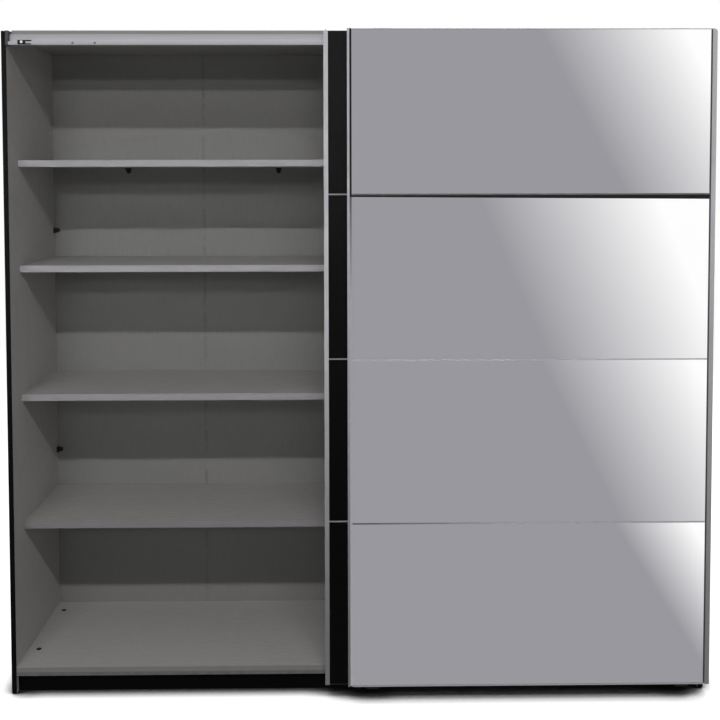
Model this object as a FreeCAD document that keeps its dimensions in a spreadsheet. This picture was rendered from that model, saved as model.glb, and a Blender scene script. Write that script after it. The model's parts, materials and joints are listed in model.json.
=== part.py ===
import FreeCAD, Part
import Sketcher
import math
import os
import re

# Sliding door cabinet: a board carcass with two wide doors that hang in front of it,
# the rear door glazed black and the front door mirrored. Millimetres, front towards -Y,
# origin at the middle of the footprint on the floor.

doc = FreeCAD.newDocument("SlidingDoorCabinet")

sizes = {
    # carcass
    "overallWidth": 2260,
    "carcassHeight": 2145,
    "carcassDepth": 560,
    "boardThickness": 16,
    "shelfThickness": 22,
    "backThickness": 3,
    "backInset": 12,
    "grooveDepth": 7,
    "grooveClearance": 0.2,
    "grooveEndGap": 1,
    "glideHeight": 4,
    "glideWidth": 14,
    "glideInset": 60,
    "bottomPanelTop": 88,
    "plinthGap": 2,
    "rearPlinthInset": 60,
    # shelves, and the clear heights of the bays between them from the top board down
    "shelfRecess": 107,
    "shelfSideClearance": 0.5,
    "shelfRearClearance": 1.5,
    "bayHeightOne": 391,
    "bayHeightTwo": 325,
    "bayHeightThree": 406,
    "bayHeightFour": 407,
    "hatBayHeight": 339,
    "pinRadius": 2.5,
    "pinHoleDepth": 7,
    "pinReach": 11,
    "pinEdgeDistance": 45,
    "pinFit": 0.05,
    # back wall fittings
    "seamStripWidth": 12,
    "seamStripWeb": 2,
    "seamStripFlange": 1,
    "clipWidth": 22,
    "clipReach": 20,
    "clipDepth": 18,
    "clipTipWidth": 10,
    "clipTipDepth": 3,
    "clipAboveShelfTwo": 96,
    "clipAboveShelfFour": 136,
    # clothes rail
    "railDrop": 60,
    "railTall": 30,
    "railWide": 15,
    "railWall": 1.2,
    "railCupWall": 2,
    "railCupDepth": 12,
    "railCupFloor": 2,
    "railFit": 0.3,
    # connector caps
    "camEdgeDistance": 34,
    "camFrontDistance": 139,
    "camRearDistance": 468,
    "camCapRadius": 8.5,
    "camCapThickness": 1.2,
    # upper track
    "trackDrop": 45,
    "trackRise": 5,
    "trackDepth": 40,
    "trackProjection": 10,
    "trackFloor": 2,
    "trackWall": 1.5,
    "trackWeb": 2,
    "trackLipHeight": 10.5,
    "trackWebHeight": 36,
    "trackWebPosition": 18,
    "trackEndCapWidth": 9,
    "trackEndCapFit": 0.5,
    "beadRadius": 1.5,
    # lower guide track
    "guideHeight": 12,
    "guideSlotWidth": 7,
    "guideWall": 2,
    # door stops
    "stopStart": 55,
    "stopLength": 42,
    "stopTop": 15,
    "stopFoot": 1,
    "stopThickness": 0.8,
    "stopReach": 7,
    "stopBodyLength": 25,
    "stopProngHeight": 3.5,
    "bufferRadius": 4.5,
    "bufferPosition": 12,
    "bufferHeight": 9,
    "bufferThickness": 0.6,
    # doors
    "doorOverlap": 70,
    "doorThickness": 20,
    "rearDoorSetback": 74,
    "trackToDoorGap": 4,
    "doorToDoorGap": 6,
    "rearDoorTopDrop": 4,
    "rearDoorOverhang": 50,
    "frontDoorOverhang": 45,
    "stileWidth": 14,
    "stileWall": 1.5,
    "stileChamber": 5,
    "handleFlange": 7.5,
    "rightFlange": 14.5,
    "gasketWidth": 5,
    "gasketThickness": 0.9,
    "glassThickness": 4,
    "leafEdgeGap": 1,
    "topRailHeight": 6,
    "topRailLip": 2,
    "bottomRailHeight": 14,
    "bottomRailLip": 4,
    "stileCornerRadius": 11,
    "dividerFirst": 574,
    "dividerSpacing": 526,
    "dividerFace": 4.6,
    "dividerFlange": 0.8,
    "dividerWeb": 1.6,
    "dividerGap": 0.2,
    "pegRadius": 2,
    "pegClearance": 0.4,
    "pegPosition": 7.5,
    "pegSetback": 3,
    # running gear
    "rollerRadius": 14,
    "rollerWidth": 9,
    "rollerAxleRadius": 3,
    "rollerFit": 0.05,
    "rollerBeadGap": 0.4,
    "rollerFloorGap": 0.5,
    "rollerStopGap": 2.5,
    "hangerWidth": 60,
    "hangerThickness": 2,
    "hangerFootDrop": 50,
    "hangerHeadroom": 14,
    "strapClearance": 5.2,
    "strapFloorGap": 6,
    "axleEndGap": 0.5,
    "axleHeadRadius": 4.5,
    "axleHeadThickness": 1.2,
    "footClearance": 1,
    # guide shoes
    "shoeWidth": 40,
    "shoeInset": 60,
    "shoeThickness": 2,
    "shoeBlade": 3,
    "shoeBladeGap": 1,
    "shoePlateRise": 12,
    "rearShoeDrop": 10,
    "frontShoeDrop": 12,
}

sheet = doc.addObject("Spreadsheet::Sheet", "Sizes")
for row, (alias, number) in enumerate(sizes.items(), start=1):
    sheet.set("A%d" % row, alias)
    sheet.set("B%d" % row, str(number))
    sheet.setAlias("B%d" % row, alias)
doc.recompute()

# Places that follow from the sizes above, as expressions in the same words.
places = {
    "doorZone": "trackProjection + trackToDoorGap + 2 * doorThickness + doorToDoorGap",
    "overallDepth": "carcassDepth + doorZone",
    "carcassFront": "doorZone - overallDepth / 2",
    "carcassRear": "overallDepth / 2",
    "innerLeft": "boardThickness - overallWidth / 2",
    "innerWidth": "overallWidth - 2 * boardThickness",
    "partitionLeft": "-boardThickness / 2",
    "compartmentWidth": "(innerWidth - boardThickness) / 2",
    "bottomPanelUnder": "bottomPanelTop - boardThickness",
    "topPanelUnder": "carcassHeight - boardThickness",
    "trackBottom": "carcassHeight - trackDrop",
    "trackHeight": "trackDrop + trackRise",
    "trackFront": "carcassFront - trackProjection",
    "trackRear": "trackFront + trackDepth",
    "backRear": "carcassRear - backInset",
    "backFront": "backRear - backThickness",
    "grooveWidth": "backThickness + 2 * grooveClearance",
    "grooveFront": "backFront - grooveClearance",
    "stripFront": "backFront - seamStripFlange",
    "shelfFront": "carcassFront + shelfRecess",
    "shelfDepth": "stripFront - shelfRearClearance - shelfFront",
    "shelfTopOne": "topPanelUnder - bayHeightOne",
    "shelfTopTwo": "shelfTopOne - shelfThickness - bayHeightTwo",
    "shelfTopThree": "shelfTopTwo - shelfThickness - bayHeightThree",
    "shelfTopFour": "shelfTopThree - shelfThickness - bayHeightFour",
    "hatShelfTop": "topPanelUnder - hatBayHeight",
    "pinFrontPlace": "shelfRecess + pinEdgeDistance",
    "pinRearPlace": "shelfRecess + shelfDepth - pinEdgeDistance",
    "rearDoorBack": "trackFront - trackToDoorGap",
    "rearDoorFront": "rearDoorBack - doorThickness",
    "frontDoorBack": "rearDoorFront - doorToDoorGap",
    "frontDoorFront": "frontDoorBack - doorThickness",
    "rearLeafBack": "rearDoorBack - stileWall",
    "doorWidth": "(overallWidth + doorOverlap) / 2",
    "frontDoorLeft": "overallWidth / 2 - doorWidth",
    "rearDoorLeft": "frontDoorLeft - rearDoorSetback",
    "rearDoorTop": "carcassHeight - rearDoorTopDrop",
    "frontDoorTop": "carcassHeight",
    "rearDoorBottom": "bottomPanelTop - rearDoorOverhang",
    "frontDoorBottom": "bottomPanelTop - frontDoorOverhang",
    "pegHeight": "strapClearance - pegClearance",
    "rollerRim": "rollerRadius - rollerFloorGap",
    "rollerCentre": "trackBottom + trackFloor + rollerRadius",
    "rollerInset": "stopStart + stopLength + rollerStopGap + rollerRim",
    "laneOneCentre": "(trackWall + trackWebPosition) / 2",
    "laneTwoCentre": "(trackWebPosition + trackWeb + trackDepth - trackWall) / 2",
    "laneOne": "trackFront + laneOneCentre",
    "laneTwo": "trackFront + laneTwoCentre",
    "hangerBottom": "trackBottom - hangerFootDrop",
    "rearHangerTop": "rollerCentre + hangerHeadroom",
    "strapTop": "rearDoorTop + strapClearance + hangerThickness",
    "strapLegBottom": "trackBottom + trackFloor + strapFloorGap",
    "strapLegFace": "laneTwo - rollerWidth / 2 - axleEndGap",
    "trackLength": "innerWidth - 2 * trackEndCapWidth",
    "guideDepth": "3 * guideWall + 2 * guideSlotWidth",
    "guideBottom": "bottomPanelUnder - guideHeight",
    "guideRoof": "bottomPanelUnder - guideWall",
    "shoePlateTop": "bottomPanelUnder + shoePlateRise",
    "rearShoeLevel": "guideBottom - rearShoeDrop",
    "frontShoeLevel": "rearDoorBottom - frontShoeDrop",
    "plinthRecess": "guideDepth + plinthGap",
    "slotOneCentre": "carcassFront + guideWall + guideSlotWidth / 2",
    "slotTwoCentre": "slotOneCentre + guideWall + guideSlotWidth",
    "glassFace": "stileWall",
    "glassBack": "glassFace + glassThickness",
    "leafThickness": "doorThickness - stileWall - glassBack",
    "leafSideInset": "stileChamber + stileWall + leafEdgeGap",
    "leafEndInset": "stileWall + leafEdgeGap",
}


def bound(text):
    """Spell a size expression out in cells of the sheet."""
    def swap(match):
        word = match.group(0)
        if word in sizes:
            return "Sizes." + word
        if word in places:
            return "(" + bound(places[word]) + ")"
        return word
    return re.sub(r"[A-Za-z]+", swap, text)


def bind(item, **properties):
    for name, text in properties.items():
        item.setExpression(name.replace("_", "."), bound(text))


def put(item, place):
    bind(item, Placement_Base_x=place[0], Placement_Base_y=place[1], Placement_Base_z=place[2])


def add_box(label, place, size):
    item = doc.addObject("Part::Box", label)
    bind(item, Length=size[0], Width=size[1], Height=size[2])
    put(item, place)
    return item


def add_group(label, members):
    item = doc.addObject("Part::Compound", label)
    item.Links = members
    return item


def add_body(label, place):
    body = doc.addObject("PartDesign::Body", label)
    put(body, place)
    return body


def add_sketch(body, name, role, offset=None):
    plane = [item for item in body.Origin.OriginFeatures if item.Role == role][0]
    sketch = body.newObject("Sketcher::SketchObject", name)
    sketch.AttachmentSupport = [(plane, "")]
    sketch.MapMode = "FlatFace"
    if offset:
        bind(sketch, AttachmentOffset_Base_z=offset)
    return sketch


def pin_point(sketch, edge, corner, across, upward):
    """Hold a sketch point at a bound distance from the sketch origin."""
    for kind, axis, text in (("DistanceX", -2, across), ("DistanceY", -1, upward)):
        if text == "0":
            sketch.addConstraint(Sketcher.Constraint("PointOnObject", edge, corner, axis))
            continue
        number = sketch.addConstraint(Sketcher.Constraint(kind, -1, 1, edge, corner, 1.0))
        name = "%s%d" % (kind, number)
        sketch.renameConstraint(number, name)
        sketch.setExpression("Constraints." + name, bound(text))


def draw_outline(sketch, corners):
    """Draw a closed outline of straight edges through bound corners."""
    first = sketch.GeometryCount
    count = len(corners)
    spread = [FreeCAD.Rotation(FreeCAD.Vector(0, 0, 1), 360.0 * step / count) for step in range(count)]
    rough = [turn.multVec(FreeCAD.Vector(50, 0, 0)) for turn in spread]
    for step in range(count):
        sketch.addGeometry(Part.LineSegment(rough[step], rough[(step + 1) % count]))
    for step in range(count):
        following = first + (step + 1) % count
        sketch.addConstraint(Sketcher.Constraint("Coincident", first + step, 2, following, 1))
    for step, (across, upward) in enumerate(corners):
        pin_point(sketch, first + step, 1, across, upward)


def draw_circle(sketch, across, upward, radius):
    circle = Part.Circle(FreeCAD.Vector(5, 5, 0), FreeCAD.Vector(0, 0, 1), 2)
    edge = sketch.addGeometry(circle)
    pin_point(sketch, edge, 3, across, upward)
    number = sketch.addConstraint(Sketcher.Constraint("Radius", edge, 2.0))
    name = "Radius%d" % number
    sketch.renameConstraint(number, name)
    sketch.setExpression("Constraints." + name, bound(radius))


def draw_rectangle(sketch, left, low, right, high):
    draw_outline(sketch, [(left, low), (right, low), (right, high), (left, high)])


def add_pad(body, sketch, length, backwards=False):
    pad = body.newObject("PartDesign::Pad", "Pad")
    pad.Profile = sketch
    pad.Reversed = backwards
    bind(pad, Length=length)
    sketch.Visibility = False
    return pad


def add_pocket(body, sketch, depth, backwards=False):
    pocket = body.newObject("PartDesign::Pocket", "Pocket")
    pocket.Profile = sketch
    pocket.Reversed = backwards
    bind(pocket, Length=depth)
    return pocket


def add_extrusion(label, place, role, corners, length, backwards=False):
    body = add_body(label, place)
    sketch = add_sketch(body, "Outline", role)
    draw_outline(sketch, corners)
    add_pad(body, sketch, length, backwards)
    return body


def draw_slot(sketch, across, upward, radius, straight):
    """Draw an upright slot: two half circles joined by two straight sides."""
    axis = FreeCAD.Vector(0, 0, 1)
    upper = Part.Circle(FreeCAD.Vector(0, 10, 0), axis, 5)
    lower = Part.Circle(FreeCAD.Vector(0, -10, 0), axis, 5)
    top = sketch.addGeometry(Part.ArcOfCircle(upper, 0, math.pi))
    left = sketch.addGeometry(Part.LineSegment(FreeCAD.Vector(-5, 10, 0), FreeCAD.Vector(-5, -10, 0)))
    base = sketch.addGeometry(Part.ArcOfCircle(lower, math.pi, 2 * math.pi))
    right = sketch.addGeometry(Part.LineSegment(FreeCAD.Vector(5, -10, 0), FreeCAD.Vector(5, 10, 0)))
    for edge, following in ((top, left), (left, base), (base, right), (right, top)):
        sketch.addConstraint(Sketcher.Constraint("Coincident", edge, 2, following, 1))
    for arc in (top, base):
        for corner in (1, 2):
            sketch.addConstraint(Sketcher.Constraint("Horizontal", arc, corner, arc, 3))
    sketch.addConstraint(Sketcher.Constraint("Equal", top, base))
    pin_point(sketch, top, 3, across, "%s + (%s) / 2" % (upward, straight))
    pin_point(sketch, base, 3, across, "%s - (%s) / 2" % (upward, straight))
    number = sketch.addConstraint(Sketcher.Constraint("Radius", top, 5.0))
    name = "Radius%d" % number
    sketch.renameConstraint(number, name)
    sketch.setExpression("Constraints." + name, bound(radius))


def add_rod(label, place, radius, length, direction):
    """Add a cylinder that points along X or Y."""
    turns = {
        "X": FreeCAD.Rotation(FreeCAD.Vector(0, 1, 0), 90),
        "Y": FreeCAD.Rotation(FreeCAD.Vector(1, 0, 0), -90),
        "Z": FreeCAD.Rotation(),
    }
    item = doc.addObject("Part::Cylinder", label)
    item.Placement.Rotation = turns[direction]
    bind(item, Radius=radius, Height=length)
    put(item, place)
    return item


# Carcass

shelfPlaces = ["shelfTopOne", "shelfTopTwo", "shelfTopThree", "shelfTopFour"]
loosePlaces = ["shelfTopTwo", "shelfTopFour"]


def pin_height(shelf):
    return "%s - shelfThickness - pinRadius" % shelf


def drill_pin_holes(body, base, backwards):
    """Drill the holes for the pins of the loose shelves, two to a shelf, in one face of a board."""
    sketch = add_sketch(body, "PinHoles", "YZ_Plane")
    for shelf in loosePlaces:
        for place in ("pinFrontPlace", "pinRearPlace"):
            draw_circle(sketch, place, pin_height(shelf) + " - " + base, "pinRadius + pinFit")
    add_pocket(body, sketch, "pinHoleDepth", backwards)


def make_side_panel(label, face, outwards):
    """Make a side panel whose inner face lies in its own YZ plane."""
    body = add_body(label, (face, "carcassFront", "glideHeight"))
    board = add_sketch(body, "Board", "YZ_Plane")
    draw_rectangle(board, "0", "0", "carcassDepth", "carcassHeight - glideHeight")
    add_pad(body, board, "boardThickness", backwards=outwards)
    groove = add_sketch(body, "BackGroove", "YZ_Plane")
    near = "grooveFront - carcassFront"
    draw_rectangle(groove, near, "0", near + " + grooveWidth", "carcassHeight - glideHeight")
    add_pocket(body, groove, "grooveDepth", backwards=not outwards)
    return body


def make_left_side_panel():
    body = make_side_panel("side_panel_left", "innerLeft", outwards=True)
    drill_pin_holes(body, "glideHeight", backwards=False)
    return body


def make_partition():
    """Make the centre partition, notched at its upper front corner for the track."""
    body = add_body("centre_partition", ("partitionLeft", "carcassFront", "bottomPanelTop"))
    board = add_sketch(body, "Board", "YZ_Plane")
    notch = "trackRear - carcassFront"
    full = "topPanelUnder - bottomPanelTop"
    under = "trackBottom - bottomPanelTop"
    rear = "backFront - carcassFront"
    corners = [("0", "0"), (rear, "0"), (rear, full), (notch, full), (notch, under), ("0", under)]
    draw_outline(board, corners)
    add_pad(body, board, "boardThickness")
    drill_pin_holes(body, "bottomPanelTop", backwards=True)
    return body


def make_bottom_panel():
    """Make the floor board, grooved for the back wall."""
    body = add_body("bottom_panel", ("innerLeft", "carcassFront", "bottomPanelTop"))
    board = add_sketch(body, "Board", "XY_Plane")
    draw_rectangle(board, "0", "0", "innerWidth", "carcassDepth")
    add_pad(body, board, "boardThickness", backwards=True)
    groove = add_sketch(body, "BackGroove", "XY_Plane")
    near = "grooveFront - carcassFront"
    draw_rectangle(groove, "0", near, "innerWidth", near + " + grooveWidth")
    add_pocket(body, groove, "grooveDepth")
    return body


def make_top_panel():
    """Make the top board, which starts behind the track and is grooved underneath."""
    body = add_body("top_panel", ("innerLeft", "trackRear", "topPanelUnder"))
    board = add_sketch(body, "Board", "XY_Plane")
    draw_rectangle(board, "0", "0", "innerWidth", "carcassRear - trackRear")
    add_pad(body, board, "boardThickness")
    groove = add_sketch(body, "BackGroove", "XY_Plane")
    near = "grooveFront - trackRear"
    draw_rectangle(groove, "0", near, "innerWidth", near + " + grooveWidth")
    add_pocket(body, groove, "grooveDepth", backwards=True)
    return body


def make_cam_caps():
    """Cover the connectors in the floor board with flat round caps."""
    caps = []
    for across in ("camEdgeDistance", "innerWidth - camEdgeDistance"):
        for depth in ("camFrontDistance", "camRearDistance"):
            place = ("innerLeft + " + across, "carcassFront + " + depth, "bottomPanelTop")
            caps.append(add_rod("ConnectorCap", place, "camCapRadius", "camCapThickness", "Z"))
    return add_group("cam_caps", caps)


def make_back_wall():
    """Make four thin boards side by side and the two strips that join them in pairs."""
    centre = "(boardThickness + compartmentWidth) / 2"
    halfWeb = "seamStripWeb / 2"
    tongue = "grooveDepth - grooveEndGap"
    outerEdge = "overallWidth / 2 - boardThickness + " + tongue
    spans = [
        ("-(%s)" % outerEdge, "-(%s) - %s" % (centre, halfWeb)),
        ("-(%s) + %s" % (centre, halfWeb), "0"),
        ("0", "%s - %s" % (centre, halfWeb)),
        ("%s + %s" % (centre, halfWeb), outerEdge),
    ]
    low = "bottomPanelTop - (%s)" % tongue
    tall = "topPanelUnder - bottomPanelTop + 2 * (%s)" % tongue
    panels = []
    for number, (start, end) in enumerate(spans, start=1):
        size = ("(%s) - (%s)" % (end, start), "backThickness", tall)
        panels.append(add_box("back_panel_%d" % number, (start, "backFront", low), size))
    strips = [make_seam_strip(side + "(%s)" % centre) for side in ("-", "")]
    return panels + [add_group("back_seam_strips", strips)]


def make_seam_strip(middle):
    """Extrude the H-section that clasps the meeting edges of two back boards."""
    half = "seamStripWidth / 2"
    web = "seamStripWeb / 2"
    flange = "seamStripFlange"
    inside = "seamStripFlange + backThickness"
    outside = "2 * seamStripFlange + backThickness"
    corners = [
        ("-" + half, "0"),
        (half, "0"),
        (half, flange),
        (web, flange),
        (web, inside),
        (half, inside),
        (half, outside),
        ("-" + half, outside),
        ("-" + half, inside),
        ("-" + web, inside),
        ("-" + web, flange),
        ("-" + half, flange),
    ]
    place = (middle, "stripFront", "bottomPanelTop")
    return add_extrusion("SeamStrip", place, "XY_Plane", corners, "topPanelUnder - bottomPanelTop")


def make_clip(place, away):
    """Make one wedge that tapers away from the board it bears on, with its back to the back wall."""
    back = FreeCAD.Vector(0, 1, 0)
    item = doc.addObject("Part::Wedge", "Clip")
    item.Placement.Rotation = FreeCAD.Rotation(away.cross(back), away, back, "ZXY")
    item.Ymin, item.Zmax, item.Z2max = 0, 0, 0
    bind(item, Ymax="clipReach", Xmin="-clipWidth / 2", Xmax="clipWidth / 2", Zmin="-clipDepth")
    bind(item, X2min="-clipTipWidth / 2", X2max="clipTipWidth / 2", Z2min="-clipTipDepth")
    put(item, place)
    return item


def make_back_clips():
    """Hold the back wall in its groove with clips in the corners and under the upper shelves."""
    rightwards = FreeCAD.Vector(1, 0, 0)
    downwards = FreeCAD.Vector(0, 0, -1)
    walls = [("innerLeft", rightwards), ("partitionLeft", -rightwards),
             ("partitionLeft + boardThickness", rightwards), ("-(innerLeft)", -rightwards)]
    clips = []
    for face, away in walls:
        for height in ("shelfTopTwo + clipAboveShelfTwo", "shelfTopFour + clipAboveShelfFour"):
            clips.append(make_clip((face, "backFront", height), away))
    for compartment, shelf in (("innerLeft", "shelfTopOne"), ("boardThickness / 2", "hatShelfTop")):
        for share in ("1 / 4", "3 / 4"):
            across = "%s + compartmentWidth * %s" % (compartment, share)
            clips.append(make_clip((across, "backFront", shelf + " - shelfThickness"), downwards))
    return add_group("back_panel_clips", clips)


def make_shelf(label, compartment, top, clearance):
    place = ("%s + %s" % (compartment, clearance), "shelfFront", top + " - shelfThickness")
    size = ("compartmentWidth - 2 * " + clearance, "shelfDepth", "shelfThickness")
    return add_box(label, place, size)


def make_shelves():
    """Fix the shelves that brace the carcass between their walls and lay the others on pins."""
    shelves = []
    for number, top in enumerate(shelfPlaces, start=1):
        clearance = "shelfSideClearance" if top in loosePlaces else "0"
        shelves.append(make_shelf("shelf_%d" % number, "innerLeft", top, clearance))
    shelves.append(make_shelf("hat_shelf", "boardThickness / 2", "hatShelfTop", "0"))
    return shelves


def make_shelf_pins():
    """Make four pins to a loose shelf, each from the bottom of its hole."""
    pins = []
    for shelf in loosePlaces:
        for start in ("innerLeft - pinHoleDepth", "partitionLeft - pinReach"):
            for depth in ("pinFrontPlace", "pinRearPlace"):
                place = (start, "carcassFront + " + depth, pin_height(shelf))
                pins.append(add_rod("Pin", place, "pinRadius", "pinHoleDepth + pinReach", "X"))
    return add_group("shelf_pins", pins)


def make_clothes_rail():
    """Make the flat oval tube under the hat shelf and the two cups that carry it."""
    height = "hatShelfTop - shelfThickness - railDrop"
    middle = "shelfFront + shelfDepth / 2"
    left = "boardThickness / 2"
    straight = "railTall - railWide"
    tube = add_body("clothes_rail", (left + " + railCupFloor", middle, height))
    section = add_sketch(tube, "Section", "YZ_Plane")
    draw_slot(section, "0", "0", "railWide / 2", straight)
    draw_slot(section, "0", "0", "railWide / 2 - railWall", straight)
    add_pad(tube, section, "compartmentWidth - 2 * railCupFloor")
    cups = []
    for face, outwards in ((left, False), ("-(innerLeft)", True)):
        cup = add_body("RailCup", (face, middle, height))
        outside = add_sketch(cup, "Outside", "YZ_Plane")
        draw_slot(outside, "0", "0", "railWide / 2 + railFit + railCupWall", straight)
        add_pad(cup, outside, "railCupDepth", backwards=outwards)
        inside = add_sketch(cup, "Inside", "YZ_Plane", "-railCupFloor" if outwards else "railCupFloor")
        draw_slot(inside, "0", "0", "railWide / 2 + railFit", straight)
        add_pocket(cup, inside, "railCupDepth", backwards=not outwards)
        cups.append(cup)
    return [tube, add_group("rail_brackets", cups)]


def make_plinths():
    tall = "bottomPanelUnder - glideHeight"
    size = ("innerWidth", "boardThickness", tall)
    front = add_box("front_plinth", ("innerLeft", "carcassFront + plinthRecess", "glideHeight"), size)
    rear = "carcassRear - rearPlinthInset - boardThickness"
    return [front, add_box("rear_plinth", ("innerLeft", rear, "glideHeight"), size)]


def make_glides():
    """Stand the side panels, and both plinths at their middle, on small square glides."""
    side = "(overallWidth - boardThickness) / 2"
    frontEnd = "carcassFront + glideInset"
    rearEnd = "carcassRear - glideInset"
    frontLine = "carcassFront + plinthRecess + boardThickness / 2"
    rearLine = "carcassRear - rearPlinthInset - boardThickness / 2"
    spots = [("-" + side, frontEnd), ("-" + side, rearEnd), (side, frontEnd), (side, rearEnd),
             ("0", frontLine), ("0", rearLine)]
    size = ("glideWidth", "glideWidth", "glideHeight")
    glides = []
    for across, depth in spots:
        place = (across + " - glideWidth / 2", depth + " - glideWidth / 2", "0")
        glides.append(add_box("Glide", place, size))
    return add_group("floor_glides", glides)


# Tracks

def make_upper_track():
    """Extrude the two-lane track: lip, first lane, web, second lane and rear wall."""
    place = ("innerLeft + trackEndCapWidth", "trackFront", "trackBottom")
    webBack = "trackWebPosition + trackWeb"
    wallFront = "trackDepth - trackWall"
    corners = [
        ("0", "0"),
        ("trackDepth", "0"),
        ("trackDepth", "trackHeight"),
        (wallFront, "trackHeight"),
        (wallFront, "trackFloor"),
        (webBack, "trackFloor"),
        (webBack, "trackWebHeight"),
        ("trackWebPosition", "trackWebHeight"),
        ("trackWebPosition", "trackFloor"),
        ("trackWall", "trackFloor"),
        ("trackWall", "trackLipHeight"),
        ("0", "trackLipHeight"),
    ]
    body = add_extrusion("upper_track", place, "YZ_Plane", corners, "trackLength")
    beads = add_sketch(body, "RunningBeads", "YZ_Plane")
    for lane in ("laneOneCentre", "laneTwoCentre"):
        draw_circle(beads, lane, "trackFloor", "beadRadius")
    add_pad(body, beads, "trackLength")
    return body


def make_track_end_caps():
    caps = []
    size = ("trackEndCapWidth", "trackDepth - trackEndCapFit", "trackDrop")
    for start in ("innerLeft", "-(innerLeft) - trackEndCapWidth"):
        place = (start, "trackFront + trackEndCapFit", "trackBottom")
        caps.append(add_box("EndCap", place, size))
    return add_group("track_end_caps", caps)


def make_lip_stop(start, windowStart):
    """Make the stop that sits astride the lip and is open between two prongs towards the middle."""
    foot = "trackFloor + stopFoot"
    saddle = [
        ("-stopThickness", "stopFoot"),
        ("0", "stopFoot"),
        ("0", "trackLipHeight"),
        ("trackWall", "trackLipHeight"),
        ("trackWall", foot),
        ("stopReach", foot),
        ("stopReach", "stopTop"),
        ("-stopThickness", "stopTop"),
    ]
    body = add_extrusion("LipStop", (start, "trackFront", "trackBottom"), "YZ_Plane", saddle, "stopLength")
    window = add_sketch(body, "Window", "XZ_Plane", "stopThickness")
    low = "stopFoot + stopProngHeight"
    high = "stopTop - stopProngHeight"
    windowEnd = windowStart + " + stopLength - stopBodyLength"
    draw_rectangle(window, windowStart, low, windowEnd, high)
    add_pocket(body, window, "stopThickness + stopReach")
    return body


def make_door_stops():
    """Make a stop at each end of both lanes, and the round buffers of the front pair."""
    stops = []
    buffers = []
    leftEnd = "stopStart - overallWidth / 2"
    rightEnd = "overallWidth / 2 - stopStart - stopLength"
    wallStop = "trackRear - trackWall - stopReach"
    blockSize = ("stopLength", "stopReach", "stopTop - trackFloor")
    ends = [
        (leftEnd, "stopBodyLength", "bufferPosition"),
        (rightEnd, "0", "stopLength - bufferPosition"),
    ]
    for start, windowStart, spot in ends:
        stops.append(make_lip_stop(start, windowStart))
        stops.append(add_box("WallStop", (start, wallStop, "trackBottom + trackFloor"), blockSize))
        front = "trackFront - stopThickness - bufferThickness"
        place = (start + " + " + spot, front, "trackBottom + bufferHeight")
        buffers.append(add_rod("Buffer", place, "bufferRadius", "bufferThickness", "Y"))
    return [add_group("door_stops", stops), add_group("stop_buffers", buffers)]


def make_lower_guide():
    """Extrude the guide under the floor board: two slots that open downwards."""
    roof = "guideHeight - guideWall"
    stepTwo = "guideWall + guideSlotWidth"
    stepThree = "2 * guideWall + guideSlotWidth"
    stepFour = "2 * guideWall + 2 * guideSlotWidth"
    corners = [
        ("0", "0"),
        ("guideWall", "0"),
        ("guideWall", roof),
        (stepTwo, roof),
        (stepTwo, "0"),
        (stepThree, "0"),
        (stepThree, roof),
        (stepFour, roof),
        (stepFour, "0"),
        ("guideDepth", "0"),
        ("guideDepth", "guideHeight"),
        ("0", "guideHeight"),
    ]
    place = ("innerLeft", "carcassFront", "guideBottom")
    return add_extrusion("lower_guide_track", place, "YZ_Plane", corners, "innerWidth")


# Doors

class Door:
    """The places that the pieces of one door share."""
    def __init__(self, name, left, front, low, top, flanges, margins):
        self.name = name
        self.left = left
        self.right = left + " + doorWidth"
        self.front = front
        self.low = low
        self.top = top
        self.tall = "%s - %s" % (top, low)
        self.flangeLeft, self.flangeRight = flanges
        self.marginLeft, self.marginRight = margins


rearDoor = Door("rear_door", "rearDoorLeft", "rearDoorFront", "rearDoorBottom", "rearDoorTop",
                ("stileWidth", "stileWidth"), ("stileWidth", "stileWidth"))
frontDoor = Door("front_door", "frontDoorLeft", "frontDoorFront", "frontDoorBottom", "frontDoorTop",
                 ("handleFlange", "rightFlange"), ("stileWidth", "rightFlange + gasketWidth"))


def make_stile(door, side, place, flange, sign):
    """Extrude an upright: a chamber at the edge and two flanges that clasp the leaf."""
    body = add_body("%s_stile_%s" % (door.name, side), (place, door.front, door.low))
    inner = "doorThickness - stileWall"
    pocket = sign + "(stileChamber + stileWall)"
    outline = add_sketch(body, "Outline", "XY_Plane")
    corners = [
        ("0", "0"),
        (sign + flange, "0"),
        (sign + flange, "stileWall"),
        (pocket, "stileWall"),
        (pocket, inner),
        (sign + "stileWidth", inner),
        (sign + "stileWidth", "doorThickness"),
        ("0", "doorThickness"),
    ]
    draw_outline(outline, corners)
    draw_rectangle(outline, sign + "stileWall", "stileWall", sign + "stileChamber", inner)
    add_pad(body, outline, door.tall)
    return body


def make_edge_rail(door, end, level, flange, lip, upwards):
    """Extrude the channel along the leaf's upper or lower edge: a tall flange behind, a low lip in front."""
    sign = "" if upwards else "-"
    inner = "doorThickness - stileWall"
    corners = [
        ("0", "0"),
        ("doorThickness", "0"),
        ("doorThickness", sign + flange),
        (inner, sign + flange),
        (inner, sign + "stileWall"),
        ("stileWall", sign + "stileWall"),
        ("stileWall", sign + lip),
        ("0", sign + lip),
    ]
    length = "doorWidth - stileWidth - (%s)" % door.flangeRight
    place = (door.left + " + stileWidth", door.front, level)
    return add_extrusion("%s_%s_rail" % (door.name, end), place, "YZ_Plane", corners, length)


def divider_height(number):
    return "dividerFirst + %d * dividerSpacing" % number


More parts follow.
